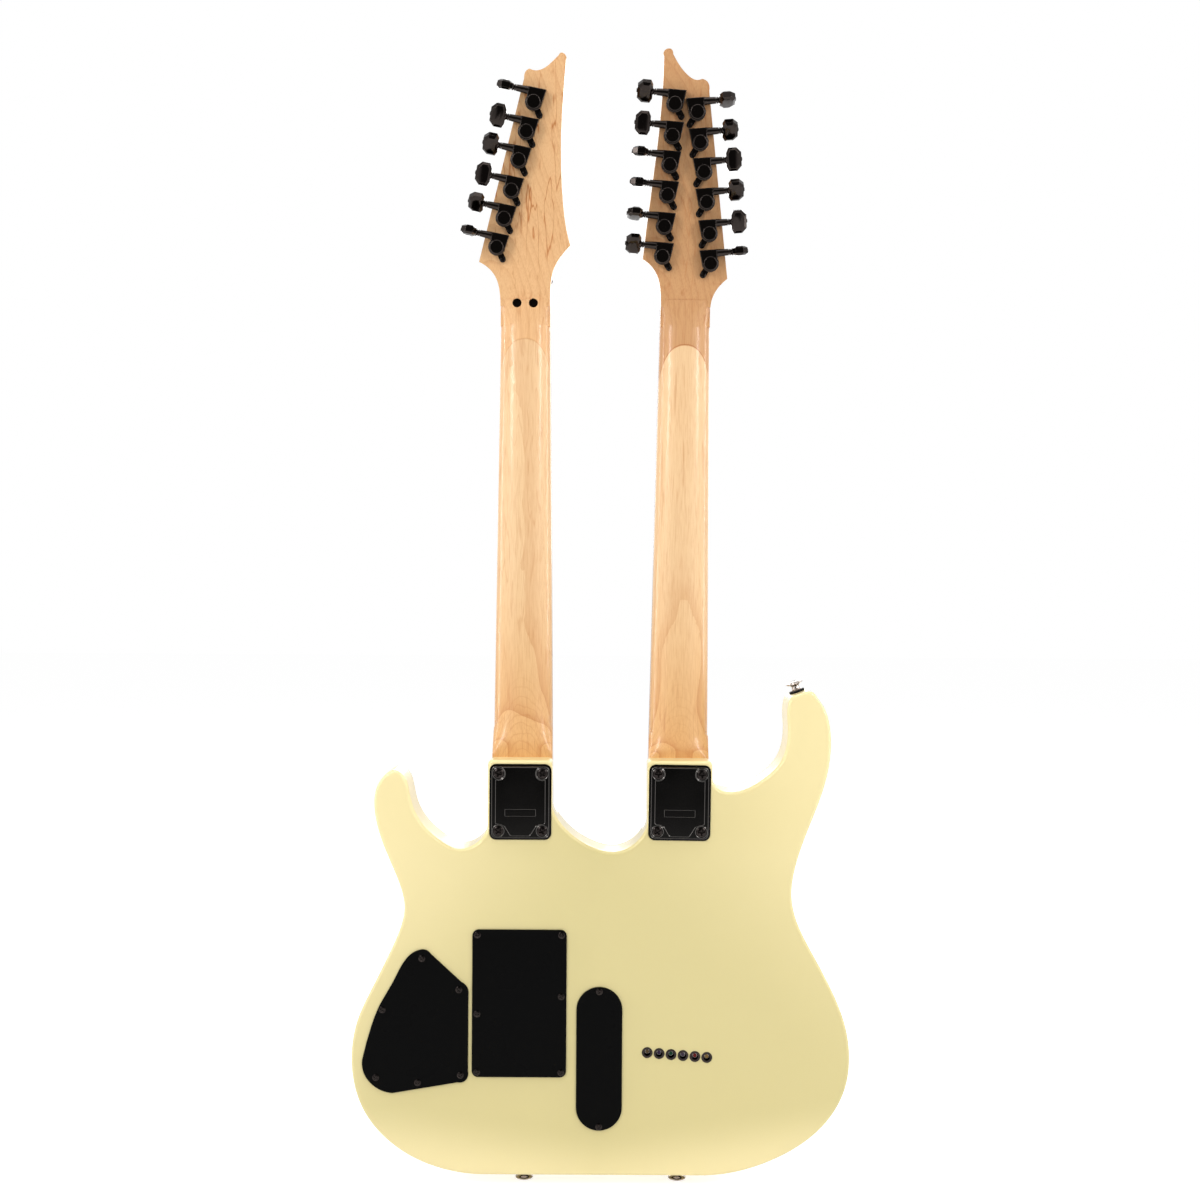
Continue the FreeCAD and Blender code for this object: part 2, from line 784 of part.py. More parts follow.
def stretch(point, way, length):
    return V(point.x + way.x * length, point.y + way.y * length, point.z + way.z * length)


def ferrule_places():
    """Each back ferrule in the twelve-string neck's frame, from the treble side."""
    places = []
    for course in range(6):
        share = course / 5 - 0.5
        x = share * course_spread_bridge + pair_gap_bridge / 2
        places.append((x, ferrule_z - share * ferrule_drop))
    return places


def tremolo_room():
    """Front recess, block slot and spring cavity of the floating bridge, in the neck's frame."""
    half = tremolo_half_width + recess_side_gap
    foot = tremolo_pivot_z - tremolo_length - recess_tail
    recess = prism(rounded(-half, half, foot, tremolo_pivot_z + recess_front, pickup_corner_r),
                   body_thickness - recess_depth, body_thickness + overrun)
    cavity_half = tremolo_cover_width / 2 - cover_ledge
    cavity_top = tremolo_cover_top_z - cover_ledge
    cavity_foot = tremolo_cover_top_z - tremolo_cover_length + cover_ledge
    cavity = prism(rounded(-cavity_half, cavity_half, cavity_foot, cavity_top, tremolo_cover_corner_r),
                   -overrun, spring_cavity_depth)
    slot = box(-block_slot_half_width, block_slot_half_width, 0, body_thickness,
               cavity_foot, tremolo_pivot_z - block_slot_top)
    return recess.fuse([cavity, slot])


def make_body():
    shape = prism(body_outline(), 0, body_thickness)
    shape = shape.makeFillet(body_edge_r, face_edges(shape, 0, body_thickness))
    cuts = [neck_pocket(6), neck_pocket(12)]
    for unit in (6, 12):
        cuts += [seat(pickup_pocket(z), unit) for z in (neck_pickup_z, bridge_pickup_z)]
        for x, z in plate_screw_places():
            hole = rod(plate_screw_r + running_fit, V(x, -overrun, z), V(x, pocket_floor_y + touch_fit, z))
            cuts.append(seat(hole, unit))
    cuts.append(seat(tremolo_room(), 6))
    cuts.append(control_cavity())
    cuts.append(prism(switch_edges(cover_ledge), -overrun, cavity_floor_y))
    for x, z in pot_places:
        cuts.append(rod(pot_bushing_r + touch_fit, V(x, 0, z), V(x, body_thickness + overrun, z)))
    for z in toggle_zs:
        cuts.append(rod(toggle_collar_r + touch_fit, V(switch_cover_x, cavity_floor_y - overrun, z),
                        V(switch_cover_x, body_thickness + overrun, z)))
    for x, z in cover_screw_places():
        cuts.append(rod(cover_screw_r + touch_fit, V(x, -overrun, z), V(x, cover_screw_length, z)))
    for side in (-1, 1):
        stud = rod(stud_bushing_r + touch_fit,
                   V(side * stud_x, body_thickness - recess_depth - stud_bushing_length, tremolo_pivot_z),
                   V(side * stud_x, body_thickness + overrun, tremolo_pivot_z))
        claw_start = tremolo_cover_top_z - cover_ledge
        claw_hole = rod(claw_screw_r + touch_fit, V(side * claw_screw_x, spring_y, claw_z),
                        V(side * claw_screw_x, spring_y, claw_start + claw_screw_length))
        cuts += [seat(stud, 6), seat(claw_hole, 6)]
    for x, z in ferrule_places():
        cuts.append(seat(rod(ferrule_barrel_r + touch_fit, V(x, -overrun, z),
                             V(x, ferrule_length + touch_fit, z)), 12))
        cuts.append(seat(rod(string_hole_r, V(x, 0, z), V(x, body_thickness + overrun, z)), 12))
    for x in bridge_screw_xs():
        cuts.append(seat(rod(bridge_screw_r + touch_fit,
                             V(x, body_thickness - cover_screw_length, bridge_screw_z()),
                             V(x, body_thickness + overrun, bridge_screw_z())), 12))
    for point, way in strap_places():
        cuts.append(rod(strap_screw_r + touch_fit, stretch(point, way, overrun),
                        stretch(point, way, -strap_screw_length)))
    seat_x = jack_seat()
    mouth_x = -body_half_width - overrun
    cuts.append(rod(jack_pocket_r, V(mouth_x, button_mid_y, jack_z), V(seat_x, button_mid_y, jack_z)))
    cuts.append(rod(jack_barrel_r + touch_fit, V(mouth_x, button_mid_y, jack_z),
                    V(seat_x + jack_inner_length, button_mid_y, jack_z)))
    return shape.cut(cuts)


# Necks

def neck_section(z, back_y, fullness):
    """The neck's cross-section at height z, flat at the front and rounded at the back."""
    half = neck_half_width(min(z, nut_z))
    depth = board_foot_y - back_y
    steps = 12
    points = []
    for step in range(steps + 1):
        angle = pi * step / steps
        side = 1 if cos(angle) >= 0 else -1
        x = half * side * abs(cos(angle)) ** (2 / fullness)
        y = board_foot_y - depth * abs(sin(angle)) ** (2 / fullness)
        points.append(V(x, y, z))
    points[0] = V(half, board_foot_y, z)
    points[-1] = V(-half, board_foot_y, z)
    back = curve(points, V(0, -1, 0), V(0, 1, 0))
    return Part.Wire([back, Part.makeLine(points[-1], points[0])])


def heel_block(side, top):
    """The flat square heel, whose arched top slopes into the neck's round back."""
    wires = []
    for y, rise in ((pocket_floor_y, 0.0), (pocket_floor_y + heel_slope, heel_slope_rise)):
        side_z = side + rise
        low, high = neck_half_width(board_end_z), neck_half_width(side_z)
        foot = [V(-high, y, side_z), V(-low, y, board_end_z), V(low, y, board_end_z), V(high, y, side_z)]
        arch = Part.Arc(foot[3], V(0, y, top + rise), foot[0]).toShape()
        wires.append(Part.Wire(lines(foot) + [arch]))
    lower = Part.makeLoft(wires, True, True)
    side_z = side + heel_slope_rise
    low, high = neck_half_width(board_end_z), neck_half_width(side_z)
    points = [V(-high, 0, side_z), V(-low, 0, board_end_z), V(low, 0, board_end_z), V(high, 0, side_z)]
    upper = prism(lines(points, True), pocket_floor_y + heel_slope, board_foot_y)
    return lower.fuse(upper)


def head_slab(unit):
    edges = []
    if unit == 12:
        parts = [twelve_left_foot_shares, twelve_left_shares, twelve_tip_shares, twelve_top_shares,
                 twelve_point_shares, twelve_right_shares, twelve_right_foot_shares]
    else:
        parts = [six_foot_shares, six_right_shares, six_tip_shares, six_top_shares, six_point_shares,
                 six_left_shares, six_left_foot_shares]
    for shares in parts:
        marks = head_points(shares)
        edges += lines(marks) if len(marks) == 2 else [curve(marks)]
    ends = [head_points(parts[-1])[-1], head_points(parts[0])[0]]
    edges += lines(ends)
    return on_head(prism(edges, -head_thickness, 0))


def post_places(unit):
    """Side, place in the head's frame, tilt and rest turn of every tuner of a head."""
    if unit == 12:
        rows = [(-1, twelve_left_post_shares, twelve_left_tilt, twelve_left_turns),
                (1, twelve_right_post_shares, twelve_right_tilt, twelve_right_turns)]
    else:
        rows = [(-1, six_post_shares, six_tuner_tilt, six_turns)]
    places = []
    for side, shares, tilt, turns in rows:
        for mark, turn in zip(head_points(shares), turns):
            places.append((side, mark, tilt, turn))
    return places


def tuner_frame(shape, side, mark, tilt):
    """Bring a tuner's piece, made with its button at -X, to its place in the neck's frame."""
    copy = shape.copy()
    if side > 0:
        copy = copy.mirror(ZERO, X_AXIS)
    copy.rotate(ZERO, Y_AXIS, -side * tilt)
    copy.translate(V(mark.x, 0, mark.z))
    return on_head(copy)


def make_neck(unit):
    back = board_foot_y - head_thickness / cos(head_lean)
    stations = [(shaft_heel_z - heel_slope_rise, shaft_back_heel_y, shaft_fullness),
                (shaft_nut_z, shaft_back_nut_y, shaft_fullness)]
    shaft = Part.makeLoft([neck_section(*station) for station in stations], True, True)
    stations = [(shaft_nut_z, shaft_back_nut_y, shaft_fullness),
                (head_break_z - head_thickness * sin(head_lean), back, 3 * shaft_fullness)]
    throat = Part.makeLoft([neck_section(*station) for station in stations], True, True)
    ledge_half = neck_half_width(nut_z)
    ledge = box(-ledge_half, ledge_half, board_foot_y - head_thickness / 2, board_foot_y,
                shaft_nut_z, nut_z + lock_nut_depth)
    side, top = (heel_side_rise_12, heel_arch_rise_12) if unit == 12 else (
        heel_side_rise_6, heel_arch_rise_6)
    shape = joined([shaft, throat, heel_block(lip_z + side, lip_z + top), head_slab(unit), ledge])
    cuts = [box(-head_half_width, head_half_width, board_foot_y, board_top_y, shaft_nut_z, head_break_z)]
    channel = box(-truss_r - running_fit, truss_r + running_fit, board_foot_y - truss_channel_depth,
                  board_foot_y + overrun, truss_start_z, truss_access_z)
    rod_y = board_foot_y - truss_channel_depth + truss_r
    pocket = rod(truss_nut_r + free_gap, V(0, rod_y, nut_z + nut12_depth), V(0, rod_y, truss_access_z))
    cuts += [channel, pocket]
    for side, mark, tilt, turn in post_places(unit):
        hole = rod(bushing_r + touch_fit, V(0, -head_thickness - overrun, 0), V(0, overrun, 0))
        pilot = rod(tuner_screw_r + touch_fit, V(ear_x, -head_thickness - overrun, ear_z),
                    V(ear_x, -head_thickness + tuner_screw_length, ear_z))
        cuts += [tuner_frame(piece, side, mark, tilt) for piece in (hole, pilot)]
    for x, z in plate_screw_places():
        cuts.append(rod(plate_screw_r + touch_fit, V(x, pocket_floor_y - overrun, z),
                        V(x, plate_screw_length - plate_gasket - plate_thickness + touch_fit, z)))
    if unit == 6:
        for side in (-1, 1):
            x, z = side * nut_bolt_offset, nut_z + nut_bolt_set_back
            cuts.append(rod(nut_bolt_r + touch_fit, V(x, 0, z), V(x, board_top_y, z)))
            cuts.append(rod(nut_bolt_head_r + touch_fit, V(x, 0, z), V(x, shaft_back_nut_y + touch_fit, z)))
            bar_x = side * (bar_half_length - bar_screw_inset)
            bar_hole = rod(bar_screw_r + touch_fit, V(bar_x, -cover_screw_length, bar_w),
                           V(bar_x, overrun, bar_w))
            cuts.append(on_head(bar_hole))
    return shape.cut(cuts)


def make_board():
    low, high = neck_half_width(board_end_z), neck_half_width(nut_z)
    points = [V(-low, 0, board_end_z), V(low, 0, board_end_z), V(high, 0, nut_z), V(-high, 0, nut_z)]
    slab = prism(lines(points, True), board_foot_y, board_top_y + overrun)
    drum = Part.makeCylinder(board_radius, nut_z - board_end_z + 2 * overrun,
                             V(0, board_top_y - board_radius, board_end_z - overrun), Z_AXIS)
    return slab.common(drum)


def fret_z(number):
    return nut_z - scale_length * (1 - 0.5 ** (number / 12))


def make_fret(number):
    """A bar that follows the board's crown."""
    z = fret_z(number)
    half = neck_half_width(z) - fret_inset
    centre_y = board_top_y - board_radius

    def crown(radius, sign):
        return V(sign * half, centre_y + sqrt(radius * radius - half * half), z - fret_width / 2)
    outer_r = board_radius + fret_height
    outer = Part.Arc(crown(outer_r, -1), V(0, centre_y + outer_r, z - fret_width / 2), crown(outer_r, 1))
    inner = Part.Arc(crown(board_radius, 1), V(0, board_top_y, z - fret_width / 2), crown(board_radius, -1))
    wire = Part.Wire([outer.toShape(), Part.makeLine(crown(outer_r, 1), crown(board_radius, 1)),
                      inner.toShape(), Part.makeLine(crown(board_radius, -1), crown(outer_r, -1))])
    return Part.Face(wire).extrude(V(0, 0, fret_width))


def make_frets():
    frets = [make_fret(number) for number in range(1, fret_count + 1)]
    return group([seat(fret, unit) for unit in (6, 12) for fret in frets])


def make_truss_rods():
    y = board_foot_y - truss_channel_depth + truss_r
    bar = rod(truss_r, V(0, y, truss_start_z + running_fit), V(0, y, truss_end_z - truss_nut_length))
    nut = rod(truss_nut_r, V(0, y, truss_end_z - truss_nut_length), V(0, y, truss_end_z - running_fit))
    socket = hexagon(truss_nut_r, 0, overrun)
    socket.rotate(ZERO, X_AXIS, 90)
    socket.translate(V(0, y, truss_end_z - overrun))
    return group([seat(piece, unit) for unit in (6, 12) for piece in (bar, nut.cut(socket))])


# Tuners

def make_housing():
    """Sealed gear case: round can with a cap, worm block, sleeve and screw ear."""
    back = -head_thickness
    can = rod(can_r, V(0, back, 0), V(0, back - can_height, 0))
    cap = rod(cap_r, V(0, back, 0), V(0, back - cap_height, 0))
    cap = cap.makeFillet(cap_edge_r, face_edges(cap, back - cap_height))
    can = can.makeFillet(cap_edge_r, face_edges(can, back - can_height))
    points = [V(-block_near, 0, 0), V(can_r, 0, 0), V(block_far, 0, block_top), V(-block_near, 0, block_top)]
    block = prism(lines(points, True), back - block_height, back)
    block = block.makeFillet(block_edge_r, face_edges(block, back - block_height))
    sleeve_y = back - shaft_height
    sleeve = taper(sleeve_r_root, sleeve_r_tip, V(-block_near + touch_fit, sleeve_y, shaft_offset),
                   V(-sleeve_end, sleeve_y, shaft_offset))
    reach = sqrt(ear_x * ear_x + ear_z * ear_z)
    ear = box(-ear_r, ear_r, back - ear_thickness, back, -reach, 0)
    ear = ear.fuse(rod(ear_r, V(0, back, -reach), V(0, back - ear_thickness, -reach)))
    ear.rotate(ZERO, Y_AXIS, -degrees(atan2(ear_x, -ear_z)))
    shape = joined([can, cap, block, sleeve, ear])
    gear_room = rod(gear_r + free_gap, V(0, back - gear_floor, 0),
                    V(0, back - gear_floor - gear_thickness - free_gap, 0))
    worm_room = rod(worm_r + free_gap, V(-worm_half_length - free_gap, sleeve_y, shaft_offset),
                    V(worm_half_length + free_gap, sleeve_y, shaft_offset))
    bore = rod(shaft_r + running_fit, V(0, sleeve_y, shaft_offset),
               V(-sleeve_end - overrun, sleeve_y, shaft_offset))
    post_hole = rod(post_r + running_fit, V(0, back - gear_floor - touch_fit, 0), V(0, back + overrun, 0))
    screw_hole = rod(tuner_screw_r + running_fit, V(ear_x, back - ear_thickness - overrun, ear_z),
                     V(ear_x, back + overrun, ear_z))
    return shape.cut([gear_room, worm_room, bore, post_hole, screw_hole])


def make_post():
    back = -head_thickness
    gear = rod(gear_r, V(0, back - gear_floor - running_fit, 0), V(0, back - gear_floor - gear_thickness, 0))
    post = rod(post_r, V(0, back - gear_floor - gear_thickness, 0), V(0, post_rise, 0))
    return joined([gear, post])


def make_bushing():
    """Threaded sleeve with a washer and a hex head on the headstock's front."""
    washer = rod(bushing_washer_r, V(0, 0, 0), V(0, bushing_washer_thickness, 0))
    nut = hexagon(bushing_nut_across, bushing_washer_thickness,
                  bushing_washer_thickness + bushing_nut_thickness)
    sleeve = rod(bushing_r, V(0, -head_thickness / 2, 0), V(0, bushing_washer_thickness, 0))
    hole = rod(post_r + running_fit, V(0, -head_thickness, 0), V(0, post_rise + overrun, 0))
    return joined([washer, nut, sleeve]).cut(hole)


def make_tuner_screw():
    head_y = -head_thickness - ear_thickness
    shape = screw(tuner_screw_r, tuner_screw_head_r, tuner_screw_head_rise,
                  ear_thickness + tuner_screw_length - touch_fit)
    return moved(shape, ear_x, head_y, ear_z)


def make_key(turn):
    """Worm shaft, ring washer, eight-sided button and its end screw."""
    y, z = -head_thickness - shaft_height, shaft_offset
    worm = rod(worm_r, V(worm_half_length, y, z), V(-worm_half_length, y, z))
    tip = -button_reach - button_length / 2 + button_edge_r
    shaft = joined([worm, rod(shaft_r, V(0, y, z), V(tip, y, z))])
    washer_x = -sleeve_end - free_gap
    washer = rod(key_washer_r, V(washer_x, y, z), V(washer_x - key_washer_thickness, y, z))
    collar_start = washer_x - key_washer_thickness
    x0, x1 = -button_reach - button_length / 2, -button_reach + button_length / 2
    w, c = button_width / 2, button_corner
    points = [V(x0 + c, 0, -w), V(x1 - c / 2, 0, -w), V(x1, 0, -w + c), V(x1, 0, w - c),
              V(x1 - c / 2, 0, w), V(x0 + c, 0, w), V(x0, 0, w - c), V(x0, 0, -w + c)]
    thick = button_thickness / 2
    button = prism(lines(points, True), -thick, thick)
    button = button.makeFillet(button_edge_r, face_edges(button, -thick, thick))
    button.translate(V(0, y, z))
    collar = taper(shaft_r + button_edge_r / 2, shaft_r + button_edge_r,
                   V(collar_start, y, z), V(x1 - touch_fit, y, z))
    button = joined([button, collar])
    end_screw = rod(button_screw_r, V(x0, y, z), V(x0 - button_screw_rise, y, z))
    core = rod(shaft_r, V(0, y, z), V(tip, y, z))
    pieces = [shaft, washer.cut(core), button.cut(core), end_screw]
    for piece in pieces:
        piece.rotate(V(0, y, z), X_AXIS, turn)
    return group(pieces)


def tuner_group(piece):
    found = []
    for unit in (6, 12):
        for side, mark, tilt, turn in post_places(unit):
            found.append(seat(tuner_frame(piece, side, mark, tilt), unit))
    return group(found)


def tuner_fasteners():
    bushings = tuner_group(make_bushing())
    screws = tuner_group(make_tuner_screw())
    return group([bushings, screws])


# Nuts, strings and hold-downs

def six_string_x(number, spread):
    return (number / 5 - 0.5) * spread


def course_x(number, spread, gap):
    """Place of one of twelve strings: pairs, counted from the treble side."""
    course, mate = number // 2, number % 2
    return (course / 5 - 0.5) * spread + (mate - 0.5) * gap


def string_radius(unit, number):
    if unit == 6:
        return six_string_radii[number]
    return (octave_radii if number % 2 == 0 else course_radii)[number // 2]


def string_post(unit, number):
    """Point where a string meets its post, beside the post's inner side."""
    places = post_places(unit)
    radius = string_radius(unit, number)
    if unit == 6:
        mark, side = places[5 - number][1], -1
    elif number < 6:
        mark, side = places[5 - number][1], -1
    else:
        mark, side = places[number][1], 1
    offset = post_r + radius + touch_fit
    rise = lower_string_rise if number in (0, unit - 1) else string_rise
    return head_point(mark.x - side * offset, rise, mark.z)


def nut_point(unit, number):
    """Point where a string crosses the back edge of its nut."""
    if unit == 6:
        return V(six_string_x(number, six_spread_nut), string_y, nut_z + lock_nut_depth)
    return V(course_x(number, course_spread_nut, pair_gap_nut), string_y, nut_z + nut12_depth)


def saddle_point(unit, number):
    x = six_string_x(number, six_spread_bridge) if unit == 6 else course_x(
        number, course_spread_bridge, pair_gap_bridge)
    return V(x, string_y, saddle_z)


def string_path(unit, number):
    points = [string_post(unit, number), nut_point(unit, number), saddle_point(unit, number)]
    x = points[-1].x
    if unit == 6:
        return points + [V(x, string_y, saddle_z - saddle_grip)]
    course = number // 2
    if number % 2:
        hole_x, hole_z = ferrule_places()[course]
        top_y = body_thickness + bridge_plate_thickness
        return points + [V(hole_x, top_y, hole_z), V(hole_x, ball_set + ball_length, hole_z)]
    lip_z0 = bridge_front_z - bridge_length
    lip_y = body_thickness + bridge_plate_thickness + bridge_lip_rise / 2
    return points + [V(x, lip_y, lip_z0)]


def make_string(unit, number):
    radius = string_radius(unit, number)
    points = string_path(unit, number)
    wire = pipe_path(radius, points)
    if unit == 6:
        return wire
    end = points[-1]
    if number % 2:
        ball = rod(ball_r, V(end.x, ball_set, end.z), V(end.x, ball_set + ball_length, end.z))
    else:
        ball = rod(ball_r, V(end.x - ball_length / 2, end.y, end.z - ball_r),
                   V(end.x + ball_length / 2, end.y, end.z - ball_r))
    return joined([wire, ball])


def make_strings(unit):
    return group([seat(make_string(unit, number), unit) for number in range(unit)])


def string_grooves(unit):
    """Room under every string: square open slots in the plain nut, half-round grooves in the other."""
    slots = []
    for number in range(unit):
        r = string_radius(unit, number) + touch_fit
        high, far = nut_point(unit, number), saddle_point(unit, number)
        if unit == 12:
            share = nut12_depth / (high.z - far.z)
            edges = sorted([high.x, high.x + share * (far.x - high.x)])
            slots.append(box(edges[0] - r, edges[1] + r, string_y - r, string_y + overrun,
                             nut_z - overrun, high.z + overrun))
        else:
            slots.append(pipe_path(r, [string_post(unit, number), high, far]))
    return slots


def make_locking_nut():
    """Base and three clamp blocks."""
    half = lock_nut_half_width
    base = box(-half, half, board_foot_y, string_y, nut_z, nut_z + lock_nut_depth)
    base = base.cut(string_grooves(6))
    pieces = []
    for column in (-1, 0, 1):
        x = column * clamp_pitch
        mid_z = nut_z + lock_nut_depth / 2
        hole = rod(clamp_screw_r + touch_fit, V(x, board_foot_y + nut_bolt_head_rise, mid_z),
                   V(x, string_y + overrun, mid_z))
        base = base.cut(hole)
        foot = string_y + clamp_gap
        back = nut_z + (lock_nut_depth - clamp_length) / 2
        clamp = box(x - clamp_width / 2, x + clamp_width / 2, foot, foot + clamp_height,
                    back, back + clamp_length)
        top_edges = face_edges(clamp, foot + clamp_height)
        clamp = clamp.makeFillet(clamp_gap, top_edges)
        pieces.append(clamp.cut(rod(clamp_screw_r + touch_fit, V(x, foot - overrun, mid_z),
                                    V(x, foot + clamp_height + overrun, mid_z))))
    for side in (-1, 1):
        x, z = side * nut_bolt_offset, nut_z + nut_bolt_set_back
        base = base.cut(rod(nut_bolt_r + touch_fit, V(x, 0, z), V(x, board_foot_y + nut_bolt_head_r, z)))
    return group([seat(piece, 6) for piece in [base] + pieces])


def make_retainer():
    """Round bar across the six strings, just behind the locking nut."""
    rise = bar_height()
    bar = rod(bar_r, V(-bar_half_length, rise, bar_w), V(bar_half_length, rise, bar_w))
    for side in (-1, 1):
        x = side * (bar_half_length - bar_screw_inset)
        bar = bar.cut(rod(bar_screw_r + touch_fit, V(x, 0, bar_w), V(x, rise + overrun, bar_w)))
    return seat(on_head(bar), 6)


def bar_height():
    """Height of the retainer bar's axis over the head's face, just over the highest string."""
    highest = 0.0
    for number in range(6):
        a, b = nut_point(6, number), string_post(6, number)
        share = (head_point(0, 0, bar_w).z - a.z) / (b.z - a.z)
        y = a.y + share * (b.y - a.y)
        z = a.z + share * (b.z - a.z)
        rise = (y - board_foot_y) * cos(head_lean) + (z - head_break_z) * sin(head_lean)
        highest = max(highest, rise + string_radius(6, number))
    return highest + bar_r + touch_fit


def make_nut_bolts():
    """Two bolts through the neck, three clamp screws and the bar's two screws."""
    z = nut_z + nut_bolt_set_back
    length = board_foot_y + nut_bolt_head_r - shaft_back_nut_y - nut_bolt_head_rise
    pieces = []
    for side in (-1, 1):
        bolt = screw(nut_bolt_r, nut_bolt_head_r, nut_bolt_head_rise, length, 2 * nut_bolt_hex_r)
        pieces.append(moved(bolt, side * nut_bolt_offset, shaft_back_nut_y, z))
    for column in (-1, 0, 1):
        top = string_y + clamp_gap + clamp_height
        bolt = screw(clamp_screw_r, clamp_screw_head_r, clamp_screw_head_rise,
                     top - board_foot_y - 2 * nut_bolt_head_rise, 2 * clamp_screw_r)
        bolt.rotate(ZERO, Z_AXIS, 180)
        pieces.append(moved(bolt, column * clamp_pitch, top, nut_z + lock_nut_depth / 2))
    rise = bar_height() + bar_r
    for side in (-1, 1):
        bolt = screw(bar_screw_r, bar_screw_head_r, clamp_screw_head_rise,
                     rise + cover_screw_length - overrun)
        bolt.rotate(ZERO, Z_AXIS, 180)
        pieces.append(on_head(moved(bolt, side * (bar_half_length - bar_screw_inset), rise, bar_w)))
    return group([seat(piece, 6) for piece in pieces])


def make_nut_12():
    half = neck_half_width(nut_z)
    base = box(-half, half, board_foot_y, string_y + nut12_rise, nut_z, nut_z + nut12_depth)
    return seat(base.cut(string_grooves(12)), 12)


def make_truss_covers():
    pieces = []
    for unit in (6, 12):
        foot, tip = truss_cover_width_foot / 2, truss_cover_width_tip / 2
        z0, z1 = truss_cover_start, truss_cover_start + truss_cover_length
        points = [V(-foot, 0, z0), V(foot, 0, z0), V(tip, 0, z1), V(-tip, 0, z1)]
        plate = prism(lines(points, True), 0, truss_cover_thickness)
        plate = plate.makeFillet(truss_cover_thickness / 3, face_edges(plate, truss_cover_thickness))
        pieces.append(seat(on_head(plate), unit))
    return group(pieces)


# Plates and covers of the back

def make_neck_plate():
    """Gasket and metal plate, whose raised panel and screw rings stand proud of a sloped rim."""
    half, low = plate_width / 2, plate_z - plate_height / 2
    high = low + plate_height
    gasket = prism(rounded(-half, half, low, high, plate_corner_r), -plate_gasket, 0)
    face = -plate_gasket - plate_thickness
    edge = half - plate_inset
    plate = prism(rounded(-edge, edge, low + plate_inset, high - plate_inset, plate_corner_r - plate_inset),
                  face, -plate_gasket)
    plate = plate.makeFillet(plate_panel_rise, face_edges(plate, face))
    foot, bend = low + panel_foot_inset, low + panel_bend_rise
    right = [V(panel_foot_half_width, 0, foot), V(panel_bend_x, 0, bend),
             V(panel_half_width, 0, low + panel_side_rise), V(panel_half_width, 0, high - panel_top_inset)]
    left = [V(-point.x, 0, point.z) for point in reversed(right)]
    top = face - plate_panel_rise
    panel = prism(lines(right + left, True), top, face)
    label_z = low + plate_label_rise
    label = box(-plate_label_width / 2, plate_label_width / 2, top - overrun, top + plate_label_depth,
                label_z - plate_label_height / 2, label_z + plate_label_height / 2)
    places = plate_screw_places()
    groove_r = plate_ring_r + plate_ring_groove
    grooves = [rod(groove_r, V(x, top - overrun, z), V(x, face, z)) for x, z in places]
    rings = [rod(plate_ring_r, V(x, top, z), V(x, face, z)) for x, z in places]
    plate = joined([plate, panel.cut(grooves + [label])] + rings)
    holes = [rod(plate_screw_r + running_fit, V(x, -overrun, z), V(x, overrun, z)) for x, z in places]
    seats = [rod(plate_screw_head_r + running_fit, V(x, -overrun, z), V(x, face, z)) for x, z in places]
    return group([gasket.cut(holes), plate.cut(holes + seats)])


def make_neck_screws():
    face = -plate_gasket - plate_thickness
    one = screw(plate_screw_r, plate_screw_head_r, plate_screw_head_rise, plate_screw_length)
    return group([seat(moved(one, x, face, z), unit) for unit in (6, 12) for x, z in plate_screw_places()])


def finished_cover(edges):
    cover = prism(edges, -cover_thickness, 0)
    cover = cover.makeFillet(cover_edge_r, face_edges(cover, -cover_thickness))
    for x, z in cover_screw_places():
        cover = cover.cut(rod(cover_screw_r + running_fit, V(x, -overrun, z), V(x, overrun, z)))
    return cover


def make_cover_screws():
    one = screw(cover_screw_r, cover_screw_head_r, cover_screw_head_rise,
                cover_thickness + cover_screw_length - running_fit)
    return group([moved(one, x, -cover_thickness, z) for x, z in cover_screw_places()])


# Strap buttons, jack, pots and toggles

def make_strap_buttons():
    pieces = []
    for point, way in strap_places():
        foot = stretch(point, way, strap_washer_thickness)
        neck_top = stretch(foot, way, strap_shank_length)
        top = stretch(neck_top, way, strap_head_thickness)
        flare = taper(strap_shank_r, strap_head_r, stretch(foot, way, strap_shank_length / 2), neck_top)
        head = rod(strap_head_r, neck_top, top)
        shank = rod(strap_shank_r, foot, neck_top)
        screw_seat = stretch(top, way, -strap_head_thickness / 2)
        screw_room = rod(strap_screw_head_r, screw_seat, stretch(top, way, overrun))
        hole = rod(strap_screw_r, point, top)
        button = joined([shank, flare, head]).cut([screw_room, hole])
        fixing = joined([rod(strap_screw_r, stretch(top, way, -strap_head_thickness / 2),
                             stretch(point, way, -strap_screw_length)),
                         rod(strap_screw_head_r - touch_fit, screw_seat, top)])
        pieces += [button, fixing]
    return group(pieces)


def make_strap_washers():
    pieces = []
    for point, way in strap_places():
        washer = rod(strap_washer_r, point, stretch(point, way, strap_washer_thickness))
        hole = rod(strap_screw_r, stretch(point, way, -overrun), stretch(point, way, overrun))
        pieces.append(washer.cut(hole))
    return group(pieces)


def make_jack():
    """Barrel jack, its flange and nut, sunk in a round pocket of the body's edge."""
    y, z, x = button_mid_y, jack_z, jack_seat()
    flange = rod(jack_flange_r, V(x, y, z), V(x - jack_flange_thickness, y, z))
    nut = hexagon(jack_nut_across, 0, jack_nut_thickness)
    nut.rotate(ZERO, Z_AXIS, 90)
    nut.translate(V(x - jack_flange_thickness, y, z))
    barrel = rod(jack_barrel_r, V(x - jack_flange_thickness - jack_nut_thickness, y, z),
                 V(x + jack_inner_length, y, z))
    mouth = x - jack_flange_thickness - jack_nut_thickness
    bore = rod(jack_bore_r, V(mouth - overrun, y, z), V(mouth + jack_bore_length, y, z))
    return joined([flange, nut, barrel]).cut(bore)


